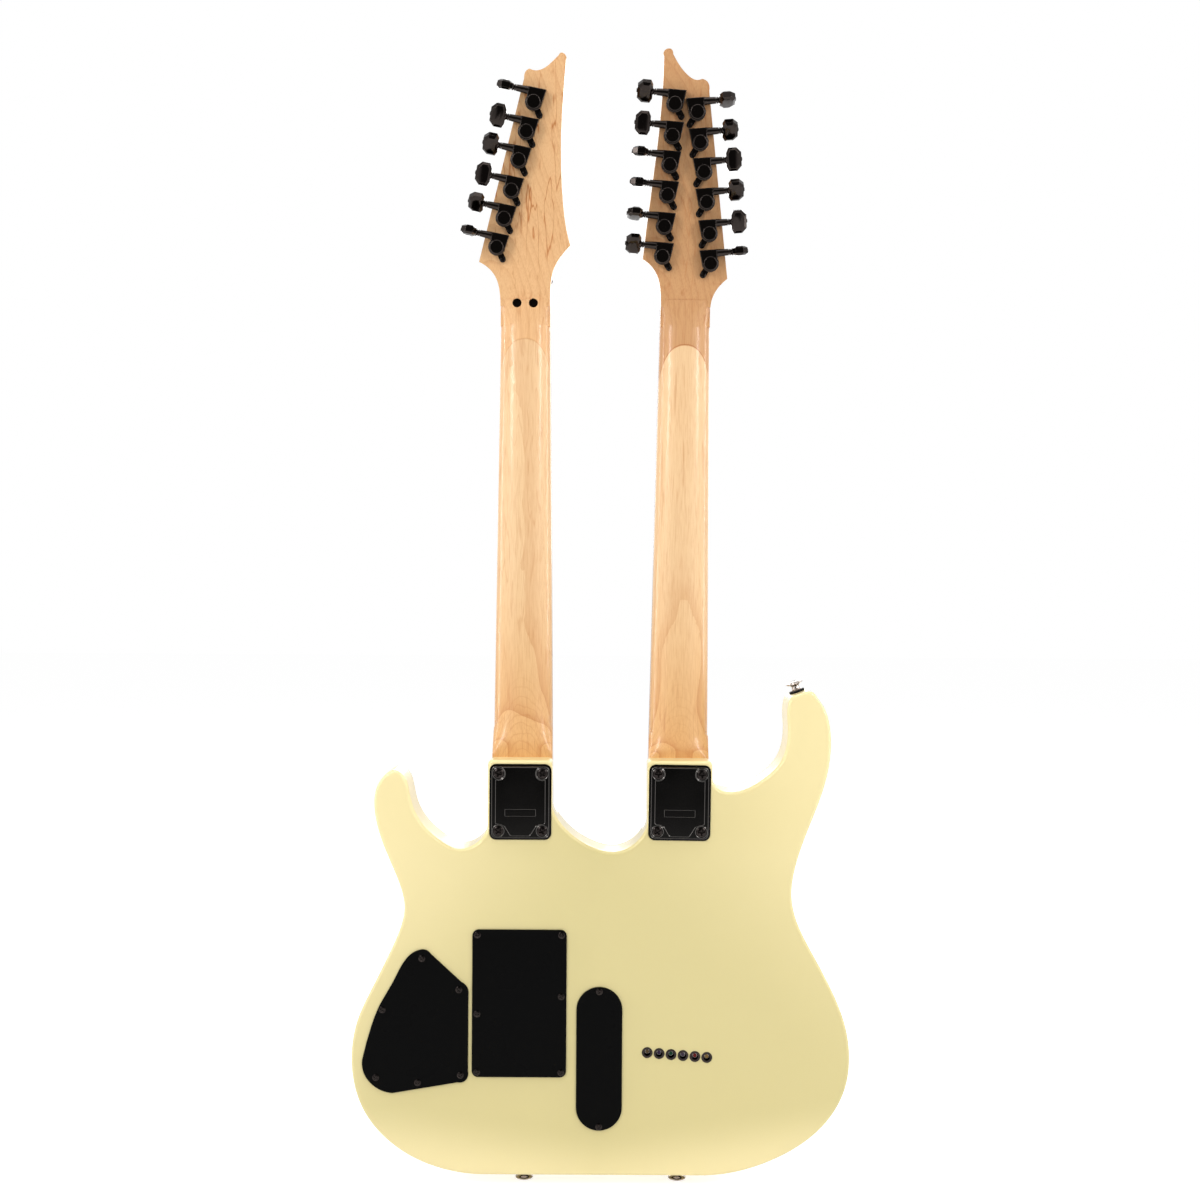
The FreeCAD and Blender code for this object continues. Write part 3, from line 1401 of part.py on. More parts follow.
def make_pots_and_switches():
    pieces = []
    for x, z in pot_places:
        can = rod(pot_r, V(x, cavity_floor_y - pot_height, z), V(x, cavity_floor_y, z))
        bushing = rod(pot_bushing_r, V(x, cavity_floor_y, z), V(x, body_thickness + pot_bushing_rise, z))
        bore = rod(pot_shaft_r + running_fit, V(x, cavity_floor_y - pot_height / 2, z),
                   V(x, body_thickness + overrun, z))
        nut = hexagon(pot_nut_across, body_thickness, body_thickness + pot_nut_thickness, x, z)
        pieces.append(joined([can, bushing, nut]).cut(bore))
    for z in toggle_zs:
        x = switch_cover_x
        base = box(x - toggle_body_width / 2, x + toggle_body_width / 2, cavity_floor_y - toggle_body_height,
                   cavity_floor_y, z - toggle_body_length / 2, z + toggle_body_length / 2)
        collar = rod(toggle_collar_r, V(x, cavity_floor_y, z), V(x, body_thickness + toggle_collar_rise, z))
        pivot_y = body_thickness
        top_y = body_thickness + toggle_collar_rise
        mouth = taper(toggle_ball_r + free_gap, toggle_collar_r - 2 * free_gap,
                      V(x, pivot_y, z), V(x, top_y + touch_fit, z))
        ball_room = Part.makeSphere(toggle_ball_r + free_gap, V(x, pivot_y, z))
        pieces.append(joined([base, collar]).cut([mouth, ball_room]))
    return group(pieces)


def make_knob(place):
    x, z = place
    foot = body_thickness + knob_lift
    top = foot + knob_height
    cap = taper(knob_foot_r, knob_r, V(x, foot, z), V(x, top, z))
    cap = cap.makeFillet(cap_edge_r, face_edges(cap, top))
    shaft_top = body_thickness + pot_shaft_rise
    hole = rod(pot_shaft_r, V(x, foot - overrun, z), V(x, shaft_top, z))
    skirt = rod(knob_skirt_bore_r, V(x, foot - overrun, z), V(x, foot + knob_skirt_depth, z))
    shaft = rod(pot_shaft_r, V(x, cavity_floor_y - pot_height / 2 + running_fit, z), V(x, shaft_top, z))
    return group([cap.cut([hole, skirt]), shaft])


def make_toggle(z):
    x, y = switch_cover_x, body_thickness
    ball = Part.makeSphere(toggle_ball_r, V(x, y, z))
    tip_start = y + toggle_height - toggle_tip_length
    stem = rod(toggle_stem_r, V(x, y, z), V(x, tip_start, z))
    tip = taper(toggle_stem_r, toggle_tip_r, V(x, tip_start, z), V(x, y + toggle_height, z))
    end = Part.makeSphere(toggle_tip_r, V(x, y + toggle_height, z))
    return joined([ball, stem, tip, end])


# Pickups

def make_pickups():
    pieces = []
    half, rise = pickup_width / 2, pickup_height / 2
    for unit in (6, 12):
        for z in (neck_pickup_z, bridge_pickup_z):
            case = prism(rounded(-half, half, z - rise, z + rise, pickup_corner_r),
                         body_thickness - pickup_pocket_depth, pickup_top_y)
            case = case.makeFillet(cap_edge_r, face_edges(case, pickup_top_y))
            poles = []
            for number in range(6):
                x = six_string_x(number, six_spread_bridge)
                for row in (-1, 1):
                    pole_z = z + row * pole_row
                    poles.append(rod(pole_r, V(x, pickup_top_y - overrun, pole_z),
                                     V(x, pickup_top_y + pole_rise, pole_z)))
            pieces.append(seat(joined([case] + poles), unit))
    return group(pieces)


# Floating tremolo of the six-string side

def stud_pieces():
    pieces = []
    floor = body_thickness - recess_depth
    for side in (-1, 1):
        x, z = side * stud_x, tremolo_pivot_z
        top = body_thickness + tremolo_lift + tremolo_plate_thickness + free_gap
        bushing = rod(stud_bushing_r, V(x, floor - stud_bushing_length, z), V(x, floor, z))
        stem = rod(stud_r, V(x, floor - stud_bushing_length / 2, z), V(x, top, z))
        head = rod(stud_head_r, V(x, top, z), V(x, top + stud_head_thickness, z))
        socket = hexagon(stud_r, top, top + stud_head_thickness + overrun, x, z)
        pieces += [bushing.cut(stem), joined([stem, head]).cut(socket)]
    return pieces


def tremolo_levels():
    foot = body_thickness + tremolo_lift
    return foot, foot + tremolo_plate_thickness


def make_tremolo_plate():
    """Base plate notched round its two studs, with the arm's ear and the rear lip."""
    foot, top = tremolo_levels()
    front = tremolo_pivot_z + tremolo_front_reach
    tail = tremolo_pivot_z - tremolo_length
    a, b = tremolo_front_half_width, tremolo_half_width
    waist = tremolo_pivot_z - tremolo_length / 3
    points = [V(-a, 0, front), V(a, 0, front), V(a, 0, waist), V(b - recess_side_gap, 0, tail),
              V(-b + recess_side_gap, 0, tail), V(-a, 0, waist)]
    plate = prism(lines(points, True), foot, top)
    ear_x = arm_x - arm_ear
    ear = prism(rounded(ear_x, -a + overrun, arm_z - arm_ear, arm_z + arm_ear, arm_collar_r), foot, top)
    lip = box(-b + 2 * recess_side_gap, b - 2 * recess_side_gap, foot, top + tuner_lip_rise,
              tail, tail + tuner_lip_thickness)
    shape = joined([plate, ear, lip])
    cuts = []
    for side in (-1, 1):
        x = side * stud_x
        notch_r = stud_r + stud_notch_gap
        cuts.append(rod(notch_r, V(x, foot - overrun, tremolo_pivot_z),
                        V(x, top + overrun, tremolo_pivot_z)))
        cuts.append(box(x - notch_r, x + notch_r, foot - overrun, top + overrun,
                        tremolo_pivot_z, front + overrun))
    for number in range(6):
        x = six_string_x(number, six_spread_bridge)
        z = tail + tuner_lip_thickness / 2
        cuts.append(rod(fine_screw_stem_r + running_fit, V(x, top + touch_fit, z),
                        V(x, top + tuner_lip_rise + overrun, z)))
    cuts.append(rod(arm_r + 2 * touch_fit, V(arm_x, foot - overrun, arm_z), V(arm_x, top + overrun, arm_z)))
    shape = shape.cut(cuts)
    low, high = V(arm_x, top, arm_z), V(arm_x, top + arm_collar_height, arm_z)
    collar = rod(arm_collar_r, low, high).cut(rod(arm_r + 2 * touch_fit, low, high))
    return seat(joined([shape, collar]), 6)


def make_tremolo_block():
    foot = body_thickness + tremolo_lift
    front = tremolo_pivot_z - tremolo_block_front
    half = tremolo_block_half_width
    block = box(-half, half, tremolo_block_back_y, foot, front - tremolo_block_thickness, front)
    cuts = []
    for x in spring_xs():
        cuts.append(rod(spring_wire_r + touch_fit, V(x, spring_y, front - spring_end_gap),
                        V(x, spring_y, front + overrun)))
    return seat(block.cut(cuts), 6)


def spring_xs():
    return [(number - (spring_count - 1) / 2) * spring_pitch for number in range(spring_count)]


def make_tremolo_springs():
    """Three coil springs at their outer diameter, with hook wires at both ends."""
    pieces = []
    block_front = tremolo_pivot_z - tremolo_block_front
    claw_back = claw_z - claw_thickness / 2
    for x in spring_xs():
        coil = rod(spring_r, V(x, spring_y, block_front + spring_end_gap),
                   V(x, spring_y, claw_back - spring_end_gap))
        hook = rod(spring_wire_r, V(x, spring_y, block_front - spring_end_gap + running_fit),
                   V(x, spring_y, claw_back - touch_fit))
        pieces.append(seat(joined([coil, hook]), 6))
    return group(pieces)


def make_spring_claw():
    half = claw_half_width
    y0, y1 = spring_y - claw_height / 2, spring_y + claw_height / 2
    claw = box(-half, half, y0, y1, claw_z - claw_thickness / 2, claw_z + claw_thickness / 2)
    pieces = []
    length = tremolo_cover_top_z - cover_ledge + claw_screw_length - claw_z - running_fit
    for side in (-1, 1):
        x = side * claw_screw_x
        claw = claw.cut(rod(claw_screw_r + touch_fit, V(x, spring_y, claw_z - overrun),
                            V(x, spring_y, claw_z + overrun)))
        bolt = screw(claw_screw_r, claw_screw_head_r, cover_screw_head_rise, length)
        bolt.rotate(ZERO, X_AXIS, 90)
        pieces.append(moved(bolt, x, spring_y, claw_z - claw_thickness / 2))
    return group([seat(piece, 6) for piece in [claw] + pieces])


def make_tremolo_saddles():
    """Six saddles that grip the strings' ends, each with its long clamp bolt."""
    foot, top = tremolo_levels()
    pitch = six_spread_bridge / 5
    half = pitch * saddle_pitch_share / 2
    bolt_y = (top + string_y) / 2
    pieces = []
    for number in range(6):
        x = six_string_x(number, six_spread_bridge)
        r = six_string_radii[number]
        crown = string_y - r - touch_fit
        z0 = saddle_front_z
        z_grip = saddle_z - touch_fit
        back = z0 - saddle_length
        high = string_y + saddle_clamp_rise
        profile = [V(x - half, top, z0), V(x - half, crown - saddle_clamp_rise / 2, z0),
                   V(x - half, crown, saddle_z + saddle_clamp_rise / 2), V(x - half, crown, z_grip),
                   V(x - half, high, z_grip - saddle_clamp_rise / 2),
                   V(x - half, high, z_grip - saddle_nose),
                   V(x - half, bolt_y + saddle_bolt_r + saddle_clamp_rise / 2, back),
                   V(x - half, top, back)]
        saddle = Part.Face(Part.makePolygon(profile + profile[:1])).extrude(V(2 * half, 0, 0))
        string_room = box(x - r - touch_fit, x + r + touch_fit, crown, string_y + r + touch_fit,
                          saddle_z - saddle_grip - touch_fit, z0 + overrun)
        bolt_room = rod(saddle_bolt_r, V(x, bolt_y, back + saddle_nose), V(x, bolt_y, back - overrun))
        bolt = rod(saddle_bolt_r, V(x, bolt_y, back + saddle_nose), V(x, bolt_y, back - saddle_bolt_reach))
        pieces += [seat(saddle.cut([string_room, bolt_room]), 6), seat(bolt, 6)]
    return group(pieces)


def make_fine_tuners():
    foot, top = tremolo_levels()
    z = tremolo_pivot_z - tremolo_length + tuner_lip_thickness / 2
    lip_top = top + tuner_lip_rise
    pieces = []
    for number in range(6):
        x = six_string_x(number, six_spread_bridge)
        stem = rod(fine_screw_stem_r, V(x, top + 2 * touch_fit, z), V(x, lip_top + fine_screw_height, z))
        head = rod(fine_screw_r, V(x, lip_top + running_fit, z), V(x, lip_top + fine_screw_height, z))
        head = head.makeFillet(cap_edge_r, face_edges(head, lip_top + fine_screw_height))
        pieces.append(seat(joined([stem, head]), 6))
    return group(pieces)


def make_tremolo_arm():
    """Bent bar: up out of its collar, round one bend, then along the strings with a slight climb."""
    foot, top = tremolo_levels()
    slope = atan2(arm_climb, arm_reach)
    way = V(0, sin(slope), cos(slope))
    bend_y = top + arm_rise - arm_bend_r

    def on_bend(turn):
        return V(0, bend_y + arm_bend_r * sin(turn), arm_bend_r * (1 - cos(turn)))
    turn = pi / 2 - slope
    start, low, high = V(0, foot, 0), V(0, bend_y, 0), on_bend(turn)
    far = stretch(high, way, arm_reach)
    path = Part.Wire([Part.makeLine(start, low), Part.Arc(low, on_bend(turn / 2), high).toShape(),
                      Part.makeLine(high, far)])
    ring = Part.Wire(Part.makeCircle(arm_r, start, Y_AXIS))
    bar = path.makePipeShell([ring], True, False)
    tip_end = stretch(far, way, arm_tip_length)
    shape = joined([bar, rod(arm_tip_r, far, tip_end), Part.makeSphere(arm_tip_r, tip_end)])
    shape.rotate(ZERO, Y_AXIS, arm_turn)
    return seat(moved(shape, arm_x, 0, arm_z), 6)


# Fixed bridge of the twelve-string side

def bridge_screw_xs():
    return [share * bridge_half_width for share in bridge_screw_shares]


def bridge_screw_z():
    return bridge_front_z - bridge_saddle_nose - bridge_screw_r


def make_bridge_plate():
    foot = body_thickness
    top = foot + bridge_plate_thickness
    half = bridge_half_width
    tail = bridge_front_z - bridge_length
    plate = box(-half, half, foot, top, tail, bridge_front_z)
    lip = box(-half, half, foot, top + bridge_lip_rise, tail, tail + bridge_lip_thickness)
    shape = joined([plate, lip])
    cuts = []
    for x, z in ferrule_places():
        cuts.append(rod(string_hole_r, V(x, foot - overrun, z), V(x, top + overrun, z)))
    for x in bridge_screw_xs():
        cuts.append(rod(bridge_screw_r + touch_fit, V(x, foot - overrun, bridge_screw_z()),
                        V(x, top + overrun, bridge_screw_z())))
    for number in range(0, 12, 2):
        start, end = string_path(12, number)[-2:]
        cuts.append(rod(octave_radii[number // 2] + running_fit, start, end))
    pieces = [shape.cut(cuts)]
    for x in bridge_screw_xs():
        bolt = screw(bridge_screw_r, cover_screw_head_r, cover_screw_head_rise,
                     bridge_plate_thickness + cover_screw_length - running_fit)
        bolt.rotate(ZERO, Z_AXIS, 180)
        pieces.append(moved(bolt, x, top, bridge_screw_z()))
    return group([seat(piece, 12) for piece in pieces])


def make_bridge_saddles():
    """Six wedge saddles, each under one pair of strings, with two grub screws."""
    top = body_thickness + bridge_plate_thickness
    half = bridge_saddle_width / 2
    pieces = []
    for course in range(6):
        thick = max(octave_radii[course], course_radii[course])
        x = (course / 5 - 0.5) * course_spread_bridge
        crown = string_y - thick - touch_fit
        z0 = saddle_z + bridge_saddle_nose
        low = crown - bridge_saddle_tail_drop
        foot, tail = top + free_gap, z0 - bridge_saddle_length
        profile = [V(x - half, foot, z0), V(x - half, crown, z0),
                   V(x - half, crown, saddle_z + bridge_saddle_nose / 2),
                   V(x - half, low, tail), V(x - half, foot, tail)]
        saddle = Part.Face(Part.makePolygon(profile + profile[:1])).extrude(V(2 * half, 0, 0))
        grub_z = saddle_z
        for side in (-1, 1):
            gx = x + side * (half - 2 * saddle_screw_r)
            grub = rod(saddle_screw_r, V(gx, top, grub_z), V(gx, crown - bridge_saddle_nose, grub_z))
            saddle = saddle.cut(grub)
            pieces.append(seat(grub, 12))
        pieces.append(seat(saddle, 12))
    return group(pieces)


def make_ferrules():
    pieces = []
    for x, z in ferrule_places():
        flange = rod(ferrule_flange_r, V(x, -ferrule_flange_rise, z), V(x, 0, z))
        flange = flange.makeFillet(ferrule_flange_rise / 2, face_edges(flange, -ferrule_flange_rise))
        barrel = rod(ferrule_barrel_r, V(x, 0, z), V(x, ferrule_length, z))
        room = rod(ferrule_bore_r, V(x, -overrun, z), V(x, ball_set + ball_length, z))
        hole = rod(string_hole_r, V(x, 0, z), V(x, body_thickness, z))
        pieces.append(seat(joined([flange, barrel]).cut([room, hole]), 12))
    return group(pieces)


# Every named piece, made and written in turn

def tuner_keys():
    keys = {}
    for unit in (6, 12):
        for number, (side, mark, tilt, turn) in enumerate(post_places(unit), 1):
            keys["tuner_key_%d_%d" % (unit, number)] = seat(
                tuner_frame(make_key(turn), side, mark, tilt), unit)
    return keys


pieces = {
    "body": make_body(),
    "neck_6": seat(make_neck(6), 6),
    "neck_12": seat(make_neck(12), 12),
    "fingerboards": group([seat(make_board(), 6), seat(make_board(), 12)]),
    "frets": make_frets(),
    "truss_rods": make_truss_rods(),
    "truss_rod_covers": make_truss_covers(),
    "locking_nut": make_locking_nut(),
    "nut_bolts": make_nut_bolts(),
    "nut_12": make_nut_12(),
    "string_retainer": make_retainer(),
    "neck_plates": group([seat(make_neck_plate(), 6), seat(make_neck_plate(), 12)]),
    "neck_screws": make_neck_screws(),
    "control_cover": finished_cover(control_edges()),
    "tremolo_cover": finished_cover(tremolo_edges(0.0, tremolo_cover_corner_r)),
    "switch_cover": finished_cover(switch_edges(0.0)),
    "cover_screws": make_cover_screws(),
    "tuner_housings": tuner_group(make_housing()),
    "tuner_posts": tuner_group(make_post()),
    "tuner_fasteners": tuner_fasteners(),
    "strap_buttons": make_strap_buttons(),
    "strap_washers": make_strap_washers(),
    "string_ferrules": make_ferrules(),
    "output_jack": make_jack(),
    "pots_and_switches": make_pots_and_switches(),
    "pickups": make_pickups(),
    "bridge_12_plate": make_bridge_plate(),
    "bridge_12_saddles": make_bridge_saddles(),
    "strings_6": make_strings(6),
    "strings_12": make_strings(12),
    "tremolo_studs": group([seat(piece, 6) for piece in stud_pieces()]),
    "spring_claw": make_spring_claw(),
    "tremolo_springs": make_tremolo_springs(),
    "tremolo_plate": make_tremolo_plate(),
    "tremolo_block": make_tremolo_block(),
    "tremolo_saddles": make_tremolo_saddles(),
    "fine_tuners": make_fine_tuners(),
    "tremolo_arm": make_tremolo_arm(),
    "volume_knob": make_knob(pot_places[0]),
    "tone_knob": make_knob(pot_places[1]),
    "neck_selector": make_toggle(toggle_zs[0]),
    "pickup_selector": make_toggle(toggle_zs[1]),
}
pieces.update(tuner_keys())

os.makedirs("parts", exist_ok=True)
for name, shape in pieces.items():
    shape.exportStep("parts/%s.step" % name)
    print(name, len(shape.Solids), "solids", round(shape.Volume), shape.isValid())
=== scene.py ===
# %% [markdown]
# # A double-neck guitar, seen from its back
# The guitar has a cream lacquered body, two maple necks and black hardware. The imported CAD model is
# the frame: every part of it already has its size and its place. This lesson dresses that frame. It
# gives each surface a finish, remakes what a close look needs, and sets up a plain white studio.
#
# The first step is to load the frame. Nothing else is read from disk.

# %% Load the frame
import bmesh
import bpy
import json
from math import atan2, cos, exp, pi, radians, sin
from mathutils import Matrix, Vector
from mathutils.bvhtree import BVHTree


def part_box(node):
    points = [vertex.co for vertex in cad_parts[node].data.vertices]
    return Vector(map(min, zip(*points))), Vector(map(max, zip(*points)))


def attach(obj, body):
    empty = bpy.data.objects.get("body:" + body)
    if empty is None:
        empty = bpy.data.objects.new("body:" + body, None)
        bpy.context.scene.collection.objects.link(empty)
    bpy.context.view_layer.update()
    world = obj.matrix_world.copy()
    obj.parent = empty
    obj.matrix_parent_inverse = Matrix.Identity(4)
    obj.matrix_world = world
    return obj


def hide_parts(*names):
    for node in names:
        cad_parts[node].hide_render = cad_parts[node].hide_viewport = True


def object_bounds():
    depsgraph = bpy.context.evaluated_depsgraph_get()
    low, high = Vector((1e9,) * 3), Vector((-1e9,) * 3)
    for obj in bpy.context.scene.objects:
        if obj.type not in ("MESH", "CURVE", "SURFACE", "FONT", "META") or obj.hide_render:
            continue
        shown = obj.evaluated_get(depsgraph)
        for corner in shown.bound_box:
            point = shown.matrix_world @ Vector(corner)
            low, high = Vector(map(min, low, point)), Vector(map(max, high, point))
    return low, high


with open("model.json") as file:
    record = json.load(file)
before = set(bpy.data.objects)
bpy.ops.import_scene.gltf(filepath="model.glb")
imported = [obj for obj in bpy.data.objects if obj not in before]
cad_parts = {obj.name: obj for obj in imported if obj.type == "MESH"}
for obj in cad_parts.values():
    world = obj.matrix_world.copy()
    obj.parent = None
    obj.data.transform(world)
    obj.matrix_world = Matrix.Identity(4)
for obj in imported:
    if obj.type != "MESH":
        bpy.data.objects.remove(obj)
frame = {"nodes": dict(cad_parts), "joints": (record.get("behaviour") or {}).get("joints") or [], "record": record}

cad_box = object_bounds()
mm = 0.001
body_of = {node: body for body, nodes in frame["record"]["behaviour"]["bodies"].items() for node in nodes}

# %% [markdown]
# ## The camera
# The photograph was taken square to the guitar's back, a little over a metre away, with the lens
# level with the lower third of the necks. The guitar leans a third of a degree clockwise in the
# picture, which a small roll of the camera gives. A camera needs no shift here, and no depth of field.

# %% Place the camera
camera_place = Vector((0, -1.260, 0.252))
camera_roll = -0.33
sensor_width = 36.0
focal_length = 42.95


def new_object(name, data):
    """A mesh, a lamp or a camera put into the scene."""
    made = bpy.data.objects.new(name, data)
    bpy.context.collection.objects.link(made)
    return made


lens = bpy.data.cameras.new("camera")
lens.sensor_width = sensor_width
lens.lens = focal_length
camera = new_object("camera", lens)
camera.location = camera_place
camera.rotation_euler = (pi / 2, radians(camera_roll), 0)
bpy.context.scene.camera = camera
bpy.context.scene.view_settings.view_transform = "Standard"
print("camera at", tuple(camera.location))

# %% [markdown]
# ## A few helpers for nodes
# A finish is a small graph of nodes. One function adds a node and fills its inputs, either with a
# value or with another node's output. Colours are written as they would be picked on a screen, from 0
# to 255, and turned into the linear values that light needs.

# %% Node helpers
def tone(red, green, blue):
    """A screen colour as linear light, with full cover."""
    parts = [part / 255 for part in (red, green, blue)]
    return (*[((part + 0.055) / 1.055) ** 2.4 if part > 0.04045 else part / 12.92 for part in parts], 1)


def add(tree, kind, inputs=None, **settings):
    """A new node whose inputs take values or other nodes' sockets."""
    made = tree.nodes.new(kind)
    for name, value in settings.items():
        setattr(made, name, value)
    for name, value in (inputs or {}).items():
        if isinstance(value, bpy.types.NodeSocket):
            tree.links.new(value, made.inputs[name])
        else:
            made.inputs[name].default_value = value
    return made


def maths(tree, operation, *values):
    return add(tree, "ShaderNodeMath", dict(enumerate(values)), operation=operation).outputs[0]


def vector_maths(tree, operation, *values):
    return add(tree, "ShaderNodeVectorMath", dict(enumerate(values)), operation=operation).outputs[0]


def ramp(tree, value, low, high, start=0.0, end=1.0):
    """A smooth rise from start to end while the value goes from low to high."""
    inputs = {"Value": value, "From Min": low, "From Max": high, "To Min": start, "To Max": end}
    return add(tree, "ShaderNodeMapRange", inputs, interpolation_type="SMOOTHSTEP").outputs[0]


def mixed(tree, share, first, second, way="MIX"):
    """Two colours mixed by a share."""
    sockets = {0: share, 6: first, 7: second}
    return add(tree, "ShaderNodeMix", sockets, data_type="RGBA", blend_type=way).outputs[2]


def noise(tree, position, scale, detail=2.0, roughness=0.5):
    inputs = {"Vector": position, "Scale": scale, "Detail": detail, "Roughness": roughness}
    return add(tree, "ShaderNodeTexNoise", inputs)


def new_group(name, inputs, outputs):
    """A shader group with named sockets, and its inner input and output nodes."""
    tree = bpy.data.node_groups.new(name, "ShaderNodeTree")
    for label, kind, value in inputs:
        socket = tree.interface.new_socket(label, in_out="INPUT", socket_type="NodeSocket" + kind)
        if value is not None:
            socket.default_value = value
    for label, kind in outputs:
        tree.interface.new_socket(label, in_out="OUTPUT", socket_type="NodeSocket" + kind)
    return tree, tree.nodes.new("NodeGroupInput").outputs, tree.nodes.new("NodeGroupOutput").inputs


def placed(tree, group, inputs):
    """A group used in a material, with its own values."""
    return add(tree, "ShaderNodeGroup", inputs, node_tree=group).outputs


def new_finish(name, **constants):
    """A material with its Principled shader, whose constant sockets are set by name."""
    finish = bpy.data.materials.new(name)
    finish.use_nodes = True
    shader = finish.node_tree.nodes["Principled BSDF"]
    for label, value in constants.items():
        shader.inputs[label.replace("_", " ")].default_value = value
    return finish, finish.node_tree, shader.inputs


def object_place(tree):
    """The point on the piece, in metres, in the guitar's own frame."""
    return add(tree, "ShaderNodeTexCoord").outputs["Object"]


print("helpers ready")

# %% [markdown]
# ## The studio
# The guitar stands upright on its two lower strap buttons, on a plain pale floor in a white room. Two
# tall lamps stand either side of the camera, a large one hangs above, and another stands beyond the
# guitar and lights its front. The room is white to the camera, and to what is seen in a mirror, but gives
# only a plain level of light, so the lacquer's own colour comes through. A narrow strip light at each side
# and above draws the bright lines on every bevel. The list of lamps gives each one's place, its width and
# height in metres, and its power in watts.
#
# Black chrome is a mirror. In an all-white room it would look grey all over, so a photographer stands a
# dark card where the mirror looks, behind the camera, with soft edges so that it leaves no line in the
# lacquer. Only reflections see the card: it takes no light from the guitar and isn't in the picture. The
# floor is half paint and half glow: the glow makes it white, and the paint still takes the guitar's
# soft shadow.

# %% Floor, room and lamps
floor_gap = 0.3 * mm
floor_reach = 12.0
floor_glow = 0.66
floor_paint = tone(235, 235, 235)
room_light = 0.40
white = (1, 1, 1, 1)


def seen_directly(tree):
    """1 for what the camera, a mirror or a glass sees, and 0 for light on the object."""
    path = add(tree, "ShaderNodeLightPath").outputs
    return maths(tree, "MAXIMUM", maths(tree, "MAXIMUM", path["Is Camera Ray"], path["Is Glossy Ray"]),
                 path["Is Transmission Ray"])


def flat_sheet(name, half, parts):
    """A level square mesh, so many parts wide."""
    form = bmesh.new()
    bmesh.ops.create_grid(form, x_segments=parts, y_segments=parts, size=half)
    mesh = bpy.data.meshes.new(name)
    form.to_mesh(mesh)
    form.free()
    return mesh


def make_floor(height):
    """A wide sheet of paper that glows to the camera and still takes a shadow."""
    mesh = flat_sheet("floor", floor_reach, 8)
    floor = new_object("floor", mesh)
    floor.location.z = height
    finish, tree, sockets = new_finish("floor_paper", Roughness=0.9, Specular_IOR_Level=0.0)
    sockets["Base Color"].default_value = floor_paint
    sockets["Emission Color"].default_value = white
    glow = maths(tree, "MULTIPLY", seen_directly(tree), floor_glow)
    tree.links.new(glow, sockets["Emission Strength"])
    mesh.materials.append(finish)


def make_room():
    """A world that looks white, and lights the guitar less than it looks."""
    world = bpy.data.worlds.new("white_room")
    bpy.context.scene.world = world
    world.use_nodes = True
    tree = world.node_tree
    sky = tree.nodes["Background"].inputs
    sky["Color"].default_value = white
    inputs = {"Value": seen_directly(tree), "To Min": room_light, "To Max": 1.0}
    tree.links.new(add(tree, "ShaderNodeMapRange", inputs).outputs[0], sky["Strength"])


def soft_box(name, place, width, height, power):
    """A lamp aimed at the guitar's middle."""
    lamp = bpy.data.lights.new(name, "AREA")
    lamp.shape = "RECTANGLE"
    lamp.size = width
    lamp.size_y = height
    lamp.energy = power
    box = new_object(name, lamp)
    box.location = place
    box.rotation_euler = (Vector(guitar_middle) - Vector(place)).to_track_quat("-Z", "Y").to_euler()


guitar_middle = (0, 0, 0.24)
lamps = [("left_soft_box", (-1.00, -1.40, 1.10), 0.22, 1.1, 11),
         ("right_soft_box", (1.05, -1.35, 1.05), 0.22, 1.0, 9),
         ("left_strip", (-1.35, -0.12, 0.45), 0.10, 1.3, 6),
         ("right_strip", (1.35, -0.12, 0.45), 0.10, 1.3, 6),
         ("top_strip", (0, -0.30, 1.9), 1.4, 0.08, 4),
         ("top_soft_box", (0, -0.55, 1.9), 1.4, 0.7, 5),
         ("front_soft_box", (0.2, 1.7, 0.9), 1.6, 1.2, 13)]
card_width = 1.5
card_low = -0.26
card_high = 1.7
card_distance = 1.62
card_dark = 0.12
card_blend = 0.36
card_foot_blend = 0.09


def dark_card(name, across, height):
    """A card seen only in mirrors, dark in the middle and white at its edges."""
    mesh = flat_sheet(name, 0.5, 1)
    mesh.transform(Matrix.Translation((0, across, height)) @ Matrix.Rotation(pi / 2, 4, "X")
                   @ Matrix.Diagonal((card_width, card_high - card_low, 1, 1)))
    card = new_object(name, mesh)
    card.visible_camera = card.visible_diffuse = card.visible_shadow = card.visible_transmission = False
    finish, tree, sockets = new_finish(name, Roughness=1.0, Specular_IOR_Level=0.0)
    sockets["Base Color"].default_value = (0, 0, 0, 1)
    sockets["Emission Color"].default_value = white
    parts = add(tree, "ShaderNodeSeparateXYZ", {0: object_place(tree)}).outputs
    beside = maths(tree, "SUBTRACT", card_width / 2, maths(tree, "ABSOLUTE", parts["X"]))
    inside = maths(tree, "MINIMUM", ramp(tree, beside, 0.0, card_blend),
                   ramp(tree, parts["Z"], card_low, card_low + card_foot_blend))
    inside = maths(tree, "MINIMUM", inside, ramp(tree, parts["Z"], card_high, card_high - card_blend))
    glow = add(tree, "ShaderNodeMapRange", {"Value": inside, "To Min": 1.0, "To Max": card_dark}).outputs[0]
    tree.links.new(glow, sockets["Emission Strength"])
    mesh.materials.append(finish)


make_floor(cad_box[0].z - floor_gap)
make_room()
dark_card("card_behind_camera", -card_distance, (card_low + card_high) / 2)
for name, place, width, height, power in lamps:
    soft_box(name, place, width, height, power)
print("studio ready, floor at", cad_box[0].z - floor_gap)

# %% [markdown]
# ## Wood figure
# Real boards are slices through a log. The log's yearly rings, cut at a slant by a carved neck, make
# long lines on the flanks and arches at the heel and below the headstock. So the figure is made in
# depth, not painted on: distance from the log's heart gives the rings, slow noise makes them wander,
# and stretched noise gives the fibres and the short mineral streaks. The fine wavy veins are the contour
# lines of a stretched noise, as the lines on a map are those of a hill. Maple and rosewood both use this
# group, each with its own ring width.

